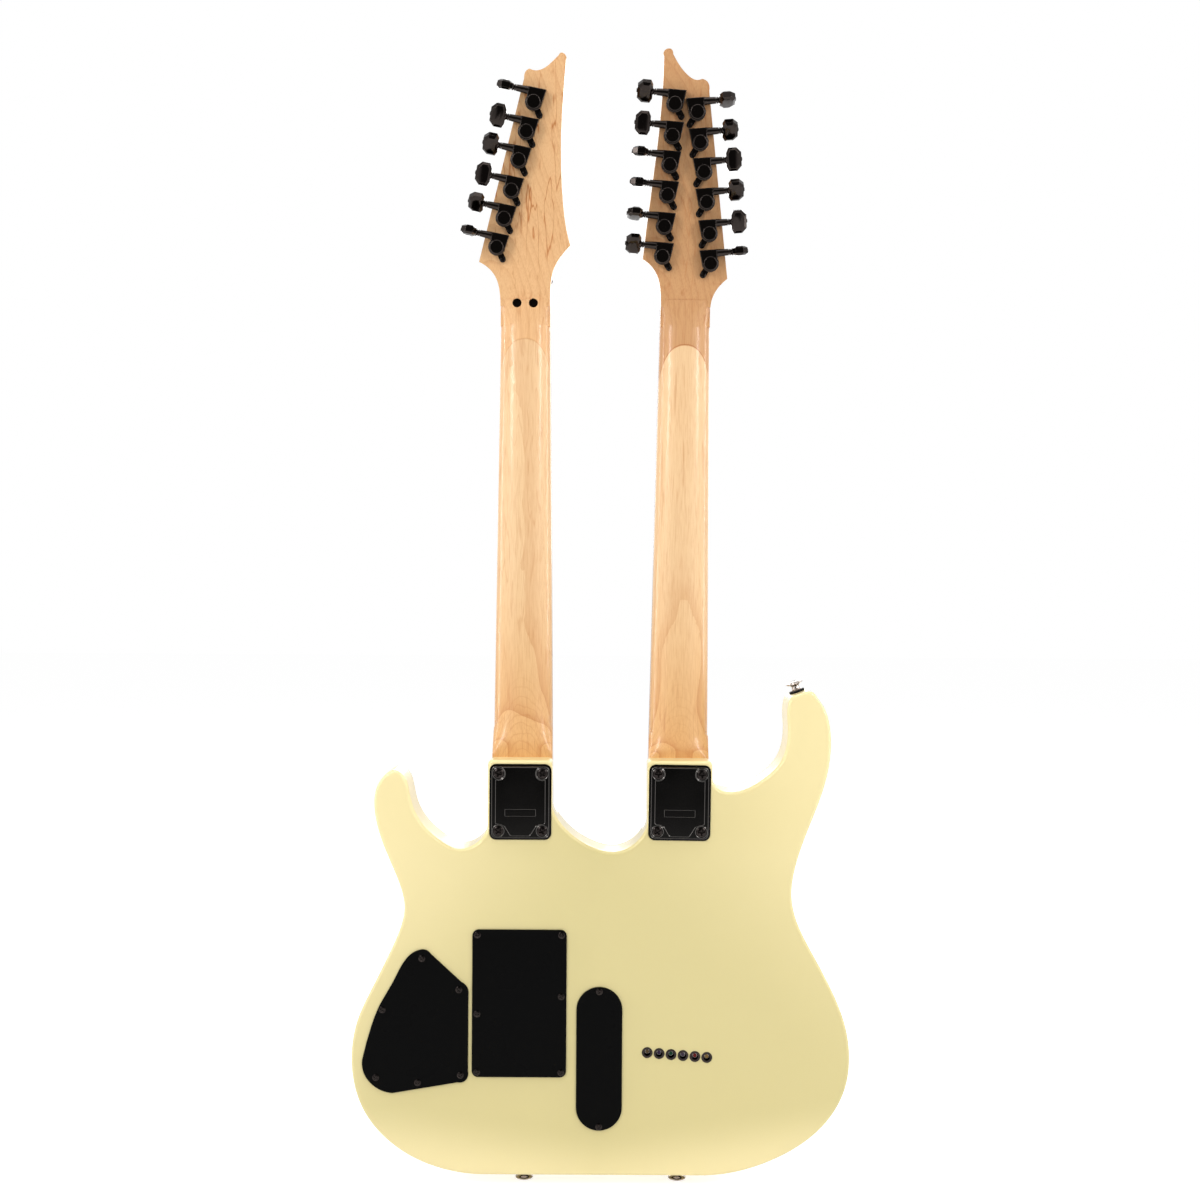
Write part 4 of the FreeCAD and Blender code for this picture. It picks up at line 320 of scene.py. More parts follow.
# %% Wood figure group
ring_slow = 9.0
ring_stretch = 0.35
ring_uneven = 1.6
ring_uneven_scale = 0.6
ring_sharpness = 3.0
streak_range = (0.60, 0.78)
fibre_stretch = 0.035
streak_stretch = 0.05
vein_scale = 46.0
vein_stretch = 0.09
vein_depth_stretch = 0.35
vein_count = 8.0
vein_width = 0.10
vein_patch_scale = 14.0
vein_patches = (0.34, 0.52)


def make_figure_group():
    """Rings, veins, fibres and streaks of wood, from a point measured from the heart of the log."""
    inputs = [("Position", "Vector", None), ("Ring Width", "Float", 3 * mm), ("Wander", "Float", 5 * mm),
              ("Fibre Width", "Float", 0.5 * mm), ("Streak Width", "Float", 3 * mm)]
    outputs = [("Rings", "Float"), ("Veins", "Float"), ("Fibre", "Float"), ("Streaks", "Float")]
    tree, given, out = new_group("wood_figure", inputs, outputs)
    place = given["Position"]
    slow = noise(tree, vector_maths(tree, "MULTIPLY", place, (1, 1, ring_stretch)), ring_slow, 3.0)
    drift = vector_maths(tree, "SUBTRACT", slow.outputs["Color"], (0.5, 0.5, 0.5))
    reach = add(tree, "ShaderNodeVectorMath", {0: drift, "Scale": given["Wander"]}, operation="SCALE")
    moved = vector_maths(tree, "ADD", place, reach.outputs[0])
    flat = vector_maths(tree, "MULTIPLY", moved, (1, 1, 0))
    radius = add(tree, "ShaderNodeVectorMath", {0: flat}, operation="LENGTH").outputs["Value"]
    count = maths(tree, "DIVIDE", radius, given["Ring Width"])
    uneven = add(tree, "ShaderNodeTexNoise", {"W": count, "Scale": ring_uneven_scale, "Detail": 1.0},
                 noise_dimensions="1D").outputs[0]
    count = maths(tree, "ADD", count, maths(tree, "MULTIPLY", uneven, ring_uneven))
    ring = maths(tree, "POWER", maths(tree, "FRACT", count), ring_sharpness)
    tree.links.new(ring, out["Rings"])
    hill_place = vector_maths(tree, "MULTIPLY", place, (1, vein_depth_stretch, vein_stretch))
    hills = noise(tree, hill_place, vein_scale, 3.5, 0.6)
    level = maths(tree, "FRACT", maths(tree, "MULTIPLY", hills.outputs[0], vein_count))
    beside = maths(tree, "ABSOLUTE", maths(tree, "SUBTRACT", level, 0.5))
    patches = noise(tree, place, vein_patch_scale, 1.0).outputs[0]
    vein = maths(tree, "MULTIPLY", ramp(tree, beside, 0.0, vein_width, 1.0, 0.0),
                 ramp(tree, patches, *vein_patches))
    tree.links.new(vein, out["Veins"])
    long_place = vector_maths(tree, "MULTIPLY", place, (1, 1, fibre_stretch))
    fibre = noise(tree, long_place, maths(tree, "DIVIDE", 1.0, given["Fibre Width"]), 3.0, 0.6)
    tree.links.new(fibre.outputs[0], out["Fibre"])
    streak_place = vector_maths(tree, "MULTIPLY", moved, (1, 1, streak_stretch))
    streak = noise(tree, streak_place, maths(tree, "DIVIDE", 1.0, given["Streak Width"]), 2.0, 0.45)
    tree.links.new(ramp(tree, streak.outputs[0], *streak_range), out["Streaks"])
    return tree


wood_figure = make_figure_group()
print("group:", wood_figure.name)

# %% [markdown]
# ## Surface texture group
# No made surface is perfectly even. Plastic has a fine moulded texture, lacquer has a slow ripple, and
# metal is never equally bright all over. One group gives a height for bumps and a slow tone that
# makes the roughness vary, and each finish sets how fine and how strong they are.

# %% Surface texture group
def make_texture_group():
    """A fine height and a slow tone over a surface."""
    inputs = [("Position", "Vector", None), ("Fine Size", "Float", 0.4 * mm), ("Slow Size", "Float", 40 * mm),
              ("Low", "Float", 0.3), ("High", "Float", 0.4)]
    outputs = [("Height", "Float"), ("Varied", "Float"), ("Slow", "Float")]
    tree, given, out = new_group("surface_texture", inputs, outputs)
    fine = noise(tree, given["Position"], maths(tree, "DIVIDE", 1.0, given["Fine Size"]), 2.0)
    slow = noise(tree, given["Position"], maths(tree, "DIVIDE", 1.0, given["Slow Size"]), 3.0)
    tree.links.new(fine.outputs[0], out["Height"])
    tree.links.new(slow.outputs[0], out["Slow"])
    inputs = {"Value": slow.outputs[0], "From Min": 0.35, "From Max": 0.65,
              "To Min": given["Low"], "To Max": given["High"]}
    tree.links.new(add(tree, "ShaderNodeMapRange", inputs).outputs[0], out["Varied"])
    return tree


surface_texture = make_texture_group()


def bumped(tree, height, depth):
    """A normal from a height, whose full swing is the depth in metres."""
    inputs = {"Height": height, "Strength": 1.0, "Distance": depth}
    return add(tree, "ShaderNodeBump", inputs).outputs[0]


print("group:", surface_texture.name)

# %% [markdown]
# ## Cream lacquer
# The body is sprayed a pale cream and polished. Light and shade are painted into its colour: a painted shade makes
# it darker and greener over the middle and towards the right, and a painted highlight makes it paler and warmer on
# the horns, the sides of the waist and the tail's rim. A clear coat over it gives the soft mirror of the studio.
# The coat is the shader's own coat layer, with a ripple of a few thousandths of a millimetre.

# %% Cream lacquer
# A painted shade colour for the middle and a painted highlight colour for the edges; the numbers below set where
# each falls.
cream_painted_shade = tone(222, 208, 147)
cream_painted_highlight = tone(251, 234, 176)
cream_side = 1.2
cream_tail_side = 0.35
cream_change = (0.0, 0.30)
cream_wander = 0.05
cream_rim = (0.215, 0.272)
cream_rim_side = 0.15
cream_ripple = 0.004 * mm


def make_cream_lacquer():
    """Painted shade on the cream in the middle and a painted highlight outwards, under a clear coat."""
    finish, tree, sockets = new_finish("cream_lacquer", Coat_Weight=0.5, Coat_Roughness=0.07,
                                       Coat_IOR=1.5, Specular_IOR_Level=0.25)
    place = object_place(tree)
    texture = placed(tree, surface_texture, {"Position": place, "Fine Size": 6 * mm, "Slow Size": 110 * mm,
                                             "Low": 0.30, "High": 0.40})
    parts = add(tree, "ShaderNodeSeparateXYZ", {0: place}).outputs
    outwards = maths(tree, "MULTIPLY", maths(tree, "ABSOLUTE", parts["X"]), cream_side)
    wander = maths(tree, "MULTIPLY", maths(tree, "SUBTRACT", texture["Slow"], 0.5), cream_wander)
    right = maths(tree, "MULTIPLY", maths(tree, "MAXIMUM", parts["X"], 0.0), cream_tail_side)
    kept = maths(tree, "SUBTRACT", maths(tree, "ADD", parts["Z"], outwards), right)
    kept = maths(tree, "ADD", kept, wander)
    rim_side = maths(tree, "MULTIPLY", maths(tree, "ABSOLUTE", parts["X"]), cream_rim_side)
    below = maths(tree, "SUBTRACT", rim_side, parts["Z"])
    # This share is painted light: paler outwards and at the tail's rim, darker in the middle and towards the
    # right.
    share = maths(tree, "MAXIMUM", ramp(tree, kept, *cream_change), ramp(tree, below, *cream_rim))
    tree.links.new(mixed(tree, share, cream_painted_shade, cream_painted_highlight), sockets["Base Color"])
    tree.links.new(texture["Varied"], sockets["Roughness"])
    tree.links.new(bumped(tree, texture["Height"], cream_ripple), sockets["Normal"])
    return finish


cream_lacquer = make_cream_lacquer()
print("finish:", cream_lacquer.name)

# %% [markdown]
# ## Maple necks
# Each neck is one plank of pale maple with a second piece glued on for the headstock. That slanted glue
# joint shows as an arch across the back of the shaft, because the shaft is round there. The material
# knows the joint's plane: above it the wood is a darker piece with its own figure, and the
# line itself is thin and brown. Near the heel the finish is a warmer yellow.

# %% Maple
maple_shaft = tone(243, 205, 156)
maple_heel = tone(232, 181, 120)
maple_line = tone(205, 150, 98)
maple_vein = tone(196, 118, 58)
joint_slope = 3.3
joint_line = 0.5 * mm
joint_fade = 2.5
head_board_shift = (0.031, 0.019, 0.4)
fibre_range = (0.40, 0.72)
maple_roughness = (0.34, 0.48)
maple_grain_depth = 0.01 * mm
heel_low = 0.095
heel_high = 0.300
head_low = 0.500
head_high = 0.560
ring_low = 0.22
ring_more = 0.25
fibre_depth = 0.26
streak_depth = 0.42
vein_on_shaft = 0.25
arch_bow = 62.0
arch_scale = 70.0
arch_width = 0.16
arch_gap = 8 * mm
arch_stray = 14 * mm
arch_low = 0.150
arch_high = 0.215


def arch_lines(tree, place, parts, middle):
    """Nested arches of grain where the shaft swells into the heel."""
    beside = maths(tree, "SUBTRACT", parts["X"], middle)
    drop = maths(tree, "MULTIPLY", maths(tree, "MULTIPLY", beside, beside), arch_bow)
    stray = maths(tree, "MULTIPLY", noise(tree, place, arch_scale, 3.0).outputs[0], arch_stray)
    height = maths(tree, "ADD", maths(tree, "ADD", parts["Z"], drop), stray)
    level = maths(tree, "FRACT", maths(tree, "DIVIDE", height, arch_gap))
    line = ramp(tree, maths(tree, "ABSOLUTE", maths(tree, "SUBTRACT", level, 0.5)), 0.0, arch_width, 1.0, 0.0)
    return maths(tree, "MULTIPLY", line, ramp(tree, height, arch_low, arch_high, 1.0, 0.0))


def make_maple(name, apex, apex_y, head_tone, heart, joint_depth, vein_depth, middle, arch_depth):
    """Maple with its headstock piece above a slanted glue joint, whose arch tops out at the apex. The heart
    is the log's, the middle is the neck's, and the depths say how strongly each mark shows."""
    finish, tree, sockets = new_finish(name, Coat_Weight=0.55, Coat_Roughness=0.16, Coat_IOR=1.45,
                                       Specular_IOR_Level=0.35)
    place = object_place(tree)
    parts = add(tree, "ShaderNodeSeparateXYZ", {0: place}).outputs
    rise = maths(tree, "ADD", parts["Z"], maths(tree, "MULTIPLY", parts["Y"], joint_slope))
    past = maths(tree, "SUBTRACT", rise, apex + joint_slope * apex_y)
    above = maths(tree, "GREATER_THAN", past, 0.0)
    near = ramp(tree, maths(tree, "ABSOLUTE", past), 0.0, joint_fade * joint_line, 1.0, 0.0)
    shift = add(tree, "ShaderNodeVectorMath", {0: head_board_shift, "Scale": above}, operation="SCALE")
    board = vector_maths(tree, "ADD", vector_maths(tree, "SUBTRACT", place, heart), shift.outputs[0])
    figure = placed(tree, wood_figure, {"Position": board, "Ring Width": 4.2 * mm, "Wander": 16 * mm,
                                        "Fibre Width": 0.55 * mm, "Streak Width": 2.4 * mm})
    warm = ramp(tree, parts["Z"], heel_low, heel_high)
    colour = mixed(tree, warm, maple_heel, maple_shaft)
    colour = mixed(tree, above, colour, head_tone)
    dark = mixed(tree, 1.0, colour, maple_line, "MULTIPLY")
    ring_depth = maths(tree, "MULTIPLY", maths(tree, "SUBTRACT", 1.0, warm), ring_more)
    ring_depth = maths(tree, "ADD", ring_low, ring_depth)
    colour = mixed(tree, maths(tree, "MULTIPLY", figure["Rings"], ring_depth), colour, dark)
    fibre = ramp(tree, figure["Fibre"], *fibre_range, 0.0, fibre_depth)
    colour = mixed(tree, fibre, colour, dark)
    colour = mixed(tree, maths(tree, "MULTIPLY", figure["Streaks"], streak_depth), colour, dark)
    on_head = ramp(tree, parts["Z"], head_low, head_high, vein_on_shaft, 1.0)
    veins = maths(tree, "MULTIPLY", maths(tree, "MULTIPLY", figure["Veins"], on_head), vein_depth)
    colour = mixed(tree, veins, colour, maple_vein)
    arches = maths(tree, "MULTIPLY", arch_lines(tree, place, parts, middle), arch_depth)
    colour = mixed(tree, arches, colour, maple_vein)
    colour = mixed(tree, maths(tree, "MULTIPLY", near, joint_depth), colour, dark)
    tree.links.new(colour, sockets["Base Color"])
    tree.links.new(ramp(tree, figure["Fibre"], 0.3, 0.7, *maple_roughness), sockets["Roughness"])
    tree.links.new(bumped(tree, figure["Fibre"], maple_grain_depth), sockets["Normal"])
    return finish


maple_six = make_maple("maple_six", apex=0.4875, apex_y=0.032, head_tone=tone(240, 192, 138),
                       heart=(-0.066, 0.105, 0), joint_depth=0.35, vein_depth=0.90, middle=-0.069,
                       arch_depth=0.24)
maple_twelve = make_maple("maple_twelve", apex=0.4824, apex_y=0.032, head_tone=tone(214, 163, 112),
                          heart=(0.072, 0.098, 0.7), joint_depth=0.8, vein_depth=0.40, middle=0.0715,
                          arch_depth=0.12)
print("finishes:", maple_six.name, maple_twelve.name)

# %% [markdown]
# ## Rosewood, felt and plastics
# The fingerboards are rosewood: brown, open-grained, not lacquered. The back covers are satin black
# plastic with a fine moulded texture. The pickups are a smoother black plastic. The washers
# under the strap buttons are felt, a tangle of fibres with a little sheen.

# %% Rosewood, plastics and felt
rosewood_heart = (0.02, 0.16, 0)
rosewood_roughness = (0.45, 0.62)
rosewood_pore_depth = 0.03 * mm


def make_rosewood():
    """Brown bands, darker fibres and nearly black pores."""
    finish, tree, sockets = new_finish("rosewood", Specular_IOR_Level=0.3)
    place = object_place(tree)
    board = vector_maths(tree, "SUBTRACT", place, rosewood_heart)
    figure = placed(tree, wood_figure, {"Position": board, "Ring Width": 2.6 * mm, "Wander": 14 * mm,
                                        "Fibre Width": 0.45 * mm, "Streak Width": 1.2 * mm})
    colour = mixed(tree, figure["Rings"], tone(86, 54, 38), tone(52, 31, 23))
    colour = mixed(tree, ramp(tree, figure["Fibre"], 0.35, 0.7), colour, tone(40, 24, 18))
    colour = mixed(tree, figure["Streaks"], colour, tone(28, 17, 13))
    tree.links.new(colour, sockets["Base Color"])
    tree.links.new(ramp(tree, figure["Fibre"], 0.3, 0.7, *rosewood_roughness), sockets["Roughness"])
    tree.links.new(bumped(tree, figure["Fibre"], rosewood_pore_depth), sockets["Normal"])
    return finish


def make_even_finish(name, colour, other, fine, depth, low, high, slow=35, **constants):
    """A moulded, sprayed or plated finish: it drifts slowly between two screen colours, its roughness between
    low and high, and its fine texture has a size and a depth in millimetres."""
    finish, tree, sockets = new_finish(name, **constants)
    texture = placed(tree, surface_texture, {"Position": object_place(tree), "Fine Size": fine * mm,
                                             "Slow Size": slow * mm, "Low": low, "High": high})
    tree.links.new(mixed(tree, texture["Slow"], tone(*colour), tone(*other)), sockets["Base Color"])
    tree.links.new(texture["Varied"], sockets["Roughness"])
    tree.links.new(bumped(tree, texture["Height"], depth * mm), sockets["Normal"])
    return finish


rosewood = make_rosewood()
cover_plastic = make_even_finish("cover_plastic", (4, 4, 4), (7, 7, 7), 0.35, 0.003, 0.26, 0.36,
                                 Specular_IOR_Level=0.035)
pickup_plastic = make_even_finish("pickup_plastic", (20, 20, 21), (26, 26, 27), 0.5, 0.004, 0.28, 0.38,
                                  Specular_IOR_Level=0.4)
nut_plastic = make_even_finish("nut_plastic", (22, 22, 22), (30, 30, 30), 0.3, 0.003, 0.35, 0.45,
                               Specular_IOR_Level=0.4)
felt = make_even_finish("felt", (8, 8, 8), (18, 18, 18), 0.25, 0.12, 0.9, 1.0, Sheen_Weight=0.15,
                        Sheen_Roughness=0.5, Specular_IOR_Level=0.1)
print("finishes:", rosewood.name, cover_plastic.name, felt.name)

# %% [markdown]
# ## Metals
# The tuners, bridges and screws are plated black: a dark mirror that turns bright only where it is seen at
# a slant. The strap buttons are a dark nickel. Frets and strings are bare bright metal, and the
# string ends are small brass barrels, some dyed, so that a player can tell the strings apart.

# %% Metals
def make_metal(*values):
    """A plated or bare metal."""
    return make_even_finish(*values, Metallic=1.0)


black_chrome = make_metal("black_chrome", (56, 50, 47), (43, 39, 37), 0.8, 0.0008, 0.08, 0.14)
black_plate = make_metal("black_plate", (40, 39, 38), (32, 31, 30), 0.3, 0.0012, 0.14, 0.20)
# A paler copy of the plates' black metal: a painted highlight for the plates' edges.
plate_edge_highlight = make_metal("plate_edge_highlight", (96, 93, 90), (80, 78, 76), 0.3, 0.0004, 0.10, 0.16)
black_screw = make_metal("black_screw", (48, 43, 41), (37, 34, 33), 0.3, 0.002, 0.12, 0.20)
dark_nickel = make_metal("dark_nickel", (196, 186, 178), (166, 158, 152), 0.6, 0.002, 0.10, 0.18)
bare_steel = make_metal("bare_steel", (190, 188, 184), (170, 168, 164), 0.4, 0.004, 0.22, 0.34)
fret_metal = make_metal("fret_metal", (214, 210, 202), (196, 192, 186), 0.5, 0.002, 0.16, 0.26)
cast_block = make_metal("cast_block", (60, 59, 58), (76, 75, 73), 0.6, 0.02, 0.42, 0.55)
print("metals ready")

# %% [markdown]
# ## Dressing a part of the frame
# A CAD part comes as loose triangles, which look faceted where the real surface is round. A welded copy
# of it can be smoothed: faces that meet at a small angle share their light, edges stay crisp, and the
# large flats keep their own direction by weighting. The copy then rides the same body and stands for
# the part.

# %% Welded copies
weld_gap = 0.002 * mm
crisp_angle = radians(28)


def new_piece(name, mesh, finish, body, replaced=()):
    """A finished piece: it gets its material, rides its body and stands for CAD nodes."""
    piece = new_object(name, mesh)
    if finish is not None:
        mesh.materials.clear()
        mesh.materials.append(finish)
    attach(piece, body)
    if replaced:
        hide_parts(*replaced)
    return piece


def smoothed(mesh):
    """Smooth shading that keeps the edges sharper than the crisp angle."""
    mesh.polygons.foreach_set("use_smooth", [True] * len(mesh.polygons))
    mesh.set_sharp_from_angle(angle=crisp_angle)


def welded_mesh(node, name):
    """A clean mesh with the shape of a CAD node."""
    form = bmesh.new()
    form.from_mesh(frame["nodes"][node].data)
    bmesh.ops.remove_doubles(form, verts=form.verts, dist=weld_gap)
    bmesh.ops.dissolve_degenerate(form, edges=form.edges, dist=weld_gap)
    form.verts.index_update()
    mesh = bpy.data.meshes.new(name)
    mesh.from_pydata([v.co for v in form.verts], [], [[v.index for v in f.verts] for f in form.faces])
    form.free()
    return mesh


def dressed(node, finish, name=None):
    """A welded, smoothed copy of a CAD node in a new finish."""
    name = name or node + "_shell"
    mesh = welded_mesh(node, name)
    smoothed(mesh)
    piece = new_piece(name, mesh, finish, body_of[node], [node])
    even = piece.modifiers.new("even_light", "WEIGHTED_NORMAL")
    even.keep_sharp = True
    return piece


dressed("body", cream_lacquer, "body_lacquered")
print("body dressed")

# %% [markdown]
# ## The carved heels
# A neck is round behind, and flat where it enters the body. The carver lets one run into the other over
# a few centimetres. In the part that change is a short ramp with crisp borders, so here the back of each
# heel is cut into small faces, and the depth at each of their corners becomes the mean of the depths
# just above and below it. The reach of the mean fades to nothing at both ends.

# %% Ease the heels
ease_low, ease_high = 108.5 * mm, 205 * mm
heel_face = 2.6 * mm
heel_reach = 15 * mm
heel_fade_low, heel_fade_high = 0.55, 0.40
facing_back = -0.12
steep_side, gentle_side = 0.30, 0.70
sliver = 0.02 * mm * mm
most_cuts = 8
mean_steps, mean_spread = 8, 4
in_the_air = -0.5


def is_back(point):
    """Whether a point lies within the back, slivers aside."""
    return all(face.normal.y < facing_back for face in point.link_faces if face.calc_area() > sliver)


def divide_heel(form):
    """Small faces over the back of the heel."""
    for height in (ease_low, ease_high):
        bmesh.ops.bisect_plane(form, geom=form.verts[:] + form.edges[:] + form.faces[:], dist=weld_gap,
                               plane_co=(0, 0, height), plane_no=(0, 0, 1))
    for turn in range(most_cuts):
        bmesh.ops.triangulate(form, faces=form.faces)
        form.normal_update()
        wide = [edge for edge in form.edges if edge.calc_length() > heel_face
                and any(face.normal.y < facing_back for face in edge.link_faces)
                and all(ease_low - weld_gap < point.co.z < ease_high + weld_gap for point in edge.verts)]
        if not wide:
            break
        bmesh.ops.subdivide_edges(form, edges=wide, cuts=1)


def ease_heel(mesh):
    """Let the round back of a neck flow into the flat of its heel."""
    form = bmesh.new()
    form.from_mesh(mesh)
    before = BVHTree.FromBMesh(form)
    divide_heel(form)
    form.normal_update()
    eased = {}
    for point in form.verts:
        x, y, z = point.co
        reach = min(heel_reach, (z - ease_low) * heel_fade_low, (ease_high - z) * heel_fade_high)
        if reach <= 0 or not is_back(point):
            continue
        total = weight = 0.0
        for step in range(-mean_steps, mean_steps + 1):
            share = exp(-0.5 * (step / mean_spread) ** 2)
            start = Vector((x, in_the_air, z + reach * step / mean_spread))
            hit = before.ray_cast(start, Vector((0, 1, 0)))[0]
            if hit is not None:
                total += hit.y * share
                weight += share
        flat = min(1.0, max(0.0, (-point.normal.y - steep_side) / (gentle_side - steep_side)))
        if weight:
            eased[point] = y + (total / weight - y) * flat
    for point, depth in eased.items():
        point.co.y = depth
    form.to_mesh(mesh)
    form.free()
    return len(eased)


for node, finish, name in (("neck_6", maple_six, "neck_six_string"),
                           ("neck_12", maple_twelve, "neck_twelve_string")):
    neck = dressed(node, finish, name)
    print(name, "points eased:", ease_heel(neck.data))
    smoothed(neck.data)

# %% [markdown]
# ## Hardware that keeps its CAD shape
# The tuner housings, covers and bridges are rounded castings and mouldings whose CAD shape is right.
# Each becomes a welded copy in its own finish.

# %% Dress the hardware
hardware = [
    (cover_plastic, "control_cover tremolo_cover switch_cover"),
    (black_chrome, "tuner_housings tuner_posts tuner_fasteners locking_nut string_retainer nut_bolts"),
    (black_chrome, "bridge_12_plate bridge_12_saddles tremolo_plate tremolo_saddles fine_tuners"),
    (black_chrome, "tremolo_arm tremolo_studs string_ferrules"),
    (black_plate, "neck_plates"), (felt, "strap_washers"), (rosewood, "fingerboards"), (fret_metal, "frets"),
    (nut_plastic, "nut_12"), (pickup_plastic, "pickups truss_rod_covers"),
    (black_chrome, "neck_selector pickup_selector output_jack"),
    (bare_steel, "strings_6 strings_12 pots_and_switches spring_claw truss_rods"),
    (cast_block, "tremolo_block")]
for finish, nodes in hardware:
    for node in nodes.split():
        dressed(node, finish)
print("hardware dressed")

# %% [markdown]
# ## Turned parts
# Much small hardware is made on a lathe: the bar turns, and the tool follows a profile. The same idea
# makes the mesh. A profile is a list of pairs, how far along the axis and how far out from it, and each
# pair becomes a ring of points. A radius of zero closes the form with a pole.

# %% A lathe in mesh code
def round_steps(count, steps):
    """The first few of a full turn's equal steps, in radians."""
    return [2 * pi * step / steps for step in range(count)]


def join_rings(form, rings, steps):
    """Faces from each ring of points to the next, where a ring of one point is a pole."""
    for near, far in zip(rings, rings[1:]):
        for step in range(steps):
            after = (step + 1) % steps
            corners = [near[step % len(near)], near[after % len(near)], far[after % len(far)],
                       far[step % len(far)]]
            form.faces.new(list(dict.fromkeys(corners)))


def lathe(form, profile, place, steps=32):
    """Add a turned form to a bmesh: the profile's pairs are millimetres along the axis and out from it."""
    rings = []
    for along, radius in profile:
        rings.append([form.verts.new(place @ (Vector((along, radius * cos(turn), radius * sin(turn))) * mm))
                      for turn in round_steps(steps if radius else 1, steps)])
    join_rings(form, rings, steps)


def closed_mesh(form, name):
    """The finished mesh of a bmesh, with every face pointing outwards."""
    bmesh.ops.recalc_face_normals(form, faces=form.faces)
    mesh = bpy.data.meshes.new(name)
    form.to_mesh(mesh)
    form.free()
    return mesh


def turned(name, profile, place, steps):
    """The mesh of one turned form."""
    form = bmesh.new()
    lathe(form, profile, place, steps)
    return closed_mesh(form, name)


def axes(first, second, third, origin):
    """A placement from three directions and an origin."""
    matrix = Matrix((first, second, third)).transposed().to_4x4()
    matrix.translation = origin
    return matrix


def pointing(direction, origin):
    """A placement whose first axis runs in a direction."""
    turn = Vector((1, 0, 0)).rotation_difference(Vector(direction)).to_matrix()
    return axes(turn.col[0], turn.col[1], turn.col[2], Vector(origin))


upright = pointing((0, 0, 1), (0, 0, 0))
print("lathe ready")

# %% [markdown]
# ## Where the tuners sit
# Every key turns about its own joint, and the joint knows the key's axis and the end of the sleeve that
# it comes out of. The headstocks lean back thirteen degrees, and the twelve-string neck stands at a slight
# angle to the other. So each tuner gets three directions: along its key, square to the headstock, and up.

# %% Placements of the eighteen tuners
head_tilt = 13.0
twelve_lean = 0.6
sleeve_reach = 16.9
key_height = 4.9
key_offset = 8.7
six_turns = [90, 10, 40, 0, 50, 80]
twelve_left_turns = [40, 5, 85, 90, 75, 45]
twelve_right_turns = [70, 45, 0, 40, 10, 85]
key_turns = {"tuner_key_6_" + str(place + 1): turn for place, turn in enumerate(six_turns)}
key_turns.update({"tuner_key_12_" + str(place + 1): turn
                  for place, turn in enumerate(twelve_left_turns + twelve_right_turns)})
joint_of = {joint["child"]: joint for joint in frame["joints"]}


def tuner_axes(key):
    """Directions along the key, square to the head towards its front, and up, and the sleeve's end."""
    along = Vector(joint_of[key]["axis"]).normalized()
    lean = Matrix.Rotation(radians(twelve_lean if key.startswith("tuner_key_12") else 0), 3, "Y")
    square = lean @ Matrix.Rotation(radians(head_tilt), 3, "X") @ Vector((0, 1, 0))
    up = along.cross(square).normalized()
    up = -up if up.z < 0 else up
    return along, square, up, Vector(joint_of[key]["pos_m"])


slant = max(abs(tuner_axes(key)[0].dot(tuner_axes(key)[1])) for key in key_turns)
print("tuners:", len(key_turns), "largest slant of a key to its head:", round(slant, 4))

# %% [markdown]
# ## Tuner keys
# The button is a cast eight-sided block with bevelled faces, slightly crowned, on a turned collar with a
# ring washer. Its outline is drawn once, and rings of that outline, drawn in towards the faces, make the
# bevels. A bevel modifier then rounds every edge, so that each one catches a line of light. The keys were
# left at different turns, so some show their face and others their edge.

# %% Make the keys
button_start = 3.2
button_end = 16.6
button_half = 10.0
button_corner = 4.2
button_levels = [(-4.3, 4.6), (-3.9, 2.2), (-2.3, 0.0), (2.3, 0.0), (3.9, 2.2), (4.3, 4.6)]
button_edge = 0.9
key_profile = [(-21.5, 0), (-21.5, 2.3), (-12.3, 2.3), (-12.3, 1.9), (0.3, 1.9), (0.3, 2.6), (0.5, 2.8),
               (1.7, 2.8), (1.9, 2.6), (1.9, 2.0), (3.0, 2.9), (3.6, 3.3), (4.2, 3.3), (4.2, 0)]
key_screw_profile = [(16.4, 0), (16.4, 2.0), (17.0, 1.9), (17.4, 1.4), (17.4, 0.5), (17.0, 0)]


def button_outline():
    near, far, half, corner = button_start, button_end, button_half, button_corner
    return [(far - corner, -half), (near + corner / 2, -half), (near, corner - half), (near, half - corner),
            (near + corner / 2, half), (far - corner, half), (far, half - corner), (far, corner - half)]


def add_button(form, place):
    """An eight-sided button whose levels pair a height with how far the outline is drawn in."""
    middle = (button_start + button_end) / 2
    reach = (button_end - button_start) / 2
    levels = []
    for height, inset in button_levels:
        levels.append([form.verts.new(place @ (Vector((
            middle + (along - middle) * (1 - inset / reach), height, up * (1 - inset / button_half))) * mm))
            for along, up in button_outline()])
    for low, high in zip(levels, levels[1:]):
        for step in range(len(low)):
            after = (step + 1) % len(low)
            form.faces.new([low[step], low[after], high[after], high[step]])
    form.faces.new(levels[0])
    form.faces.new(levels[-1])


def make_key(key):
    along, square, up, anchor = tuner_axes(key)
    turn = radians(key_turns[key])
    flat = square * cos(turn) + up * sin(turn)
    edge = up * cos(turn) - square * sin(turn)
    place = axes(along, flat, edge, anchor)
    form = bmesh.new()
    lathe(form, key_profile, place)
    lathe(form, key_screw_profile, place)
    add_button(form, place)
    mesh = closed_mesh(form, key + "_cast")
    smoothed(mesh)
    piece = new_piece(key + "_cast", mesh, black_chrome, key, [key])
    rounding = piece.modifiers.new("soft_edges", "BEVEL")
    rounding.width = button_edge * mm
    rounding.segments = 3
    rounding.limit_method = "ANGLE"
    rounding.angle_limit = radians(20)
    rounding.harden_normals = True
    return piece


for key in key_turns:
    make_key(key)
print("keys:", len(key_turns))

# %% [markdown]
# ## Setting out what repeats
# Screws, pole pieces and fret markers are one part, made once and set out many times. Geometry Nodes do
# that: the tree takes the places as points, turns the part to face where each point says, gives it a
# random turn about its own axis from a fixed seed, and joins all the copies into one mesh.

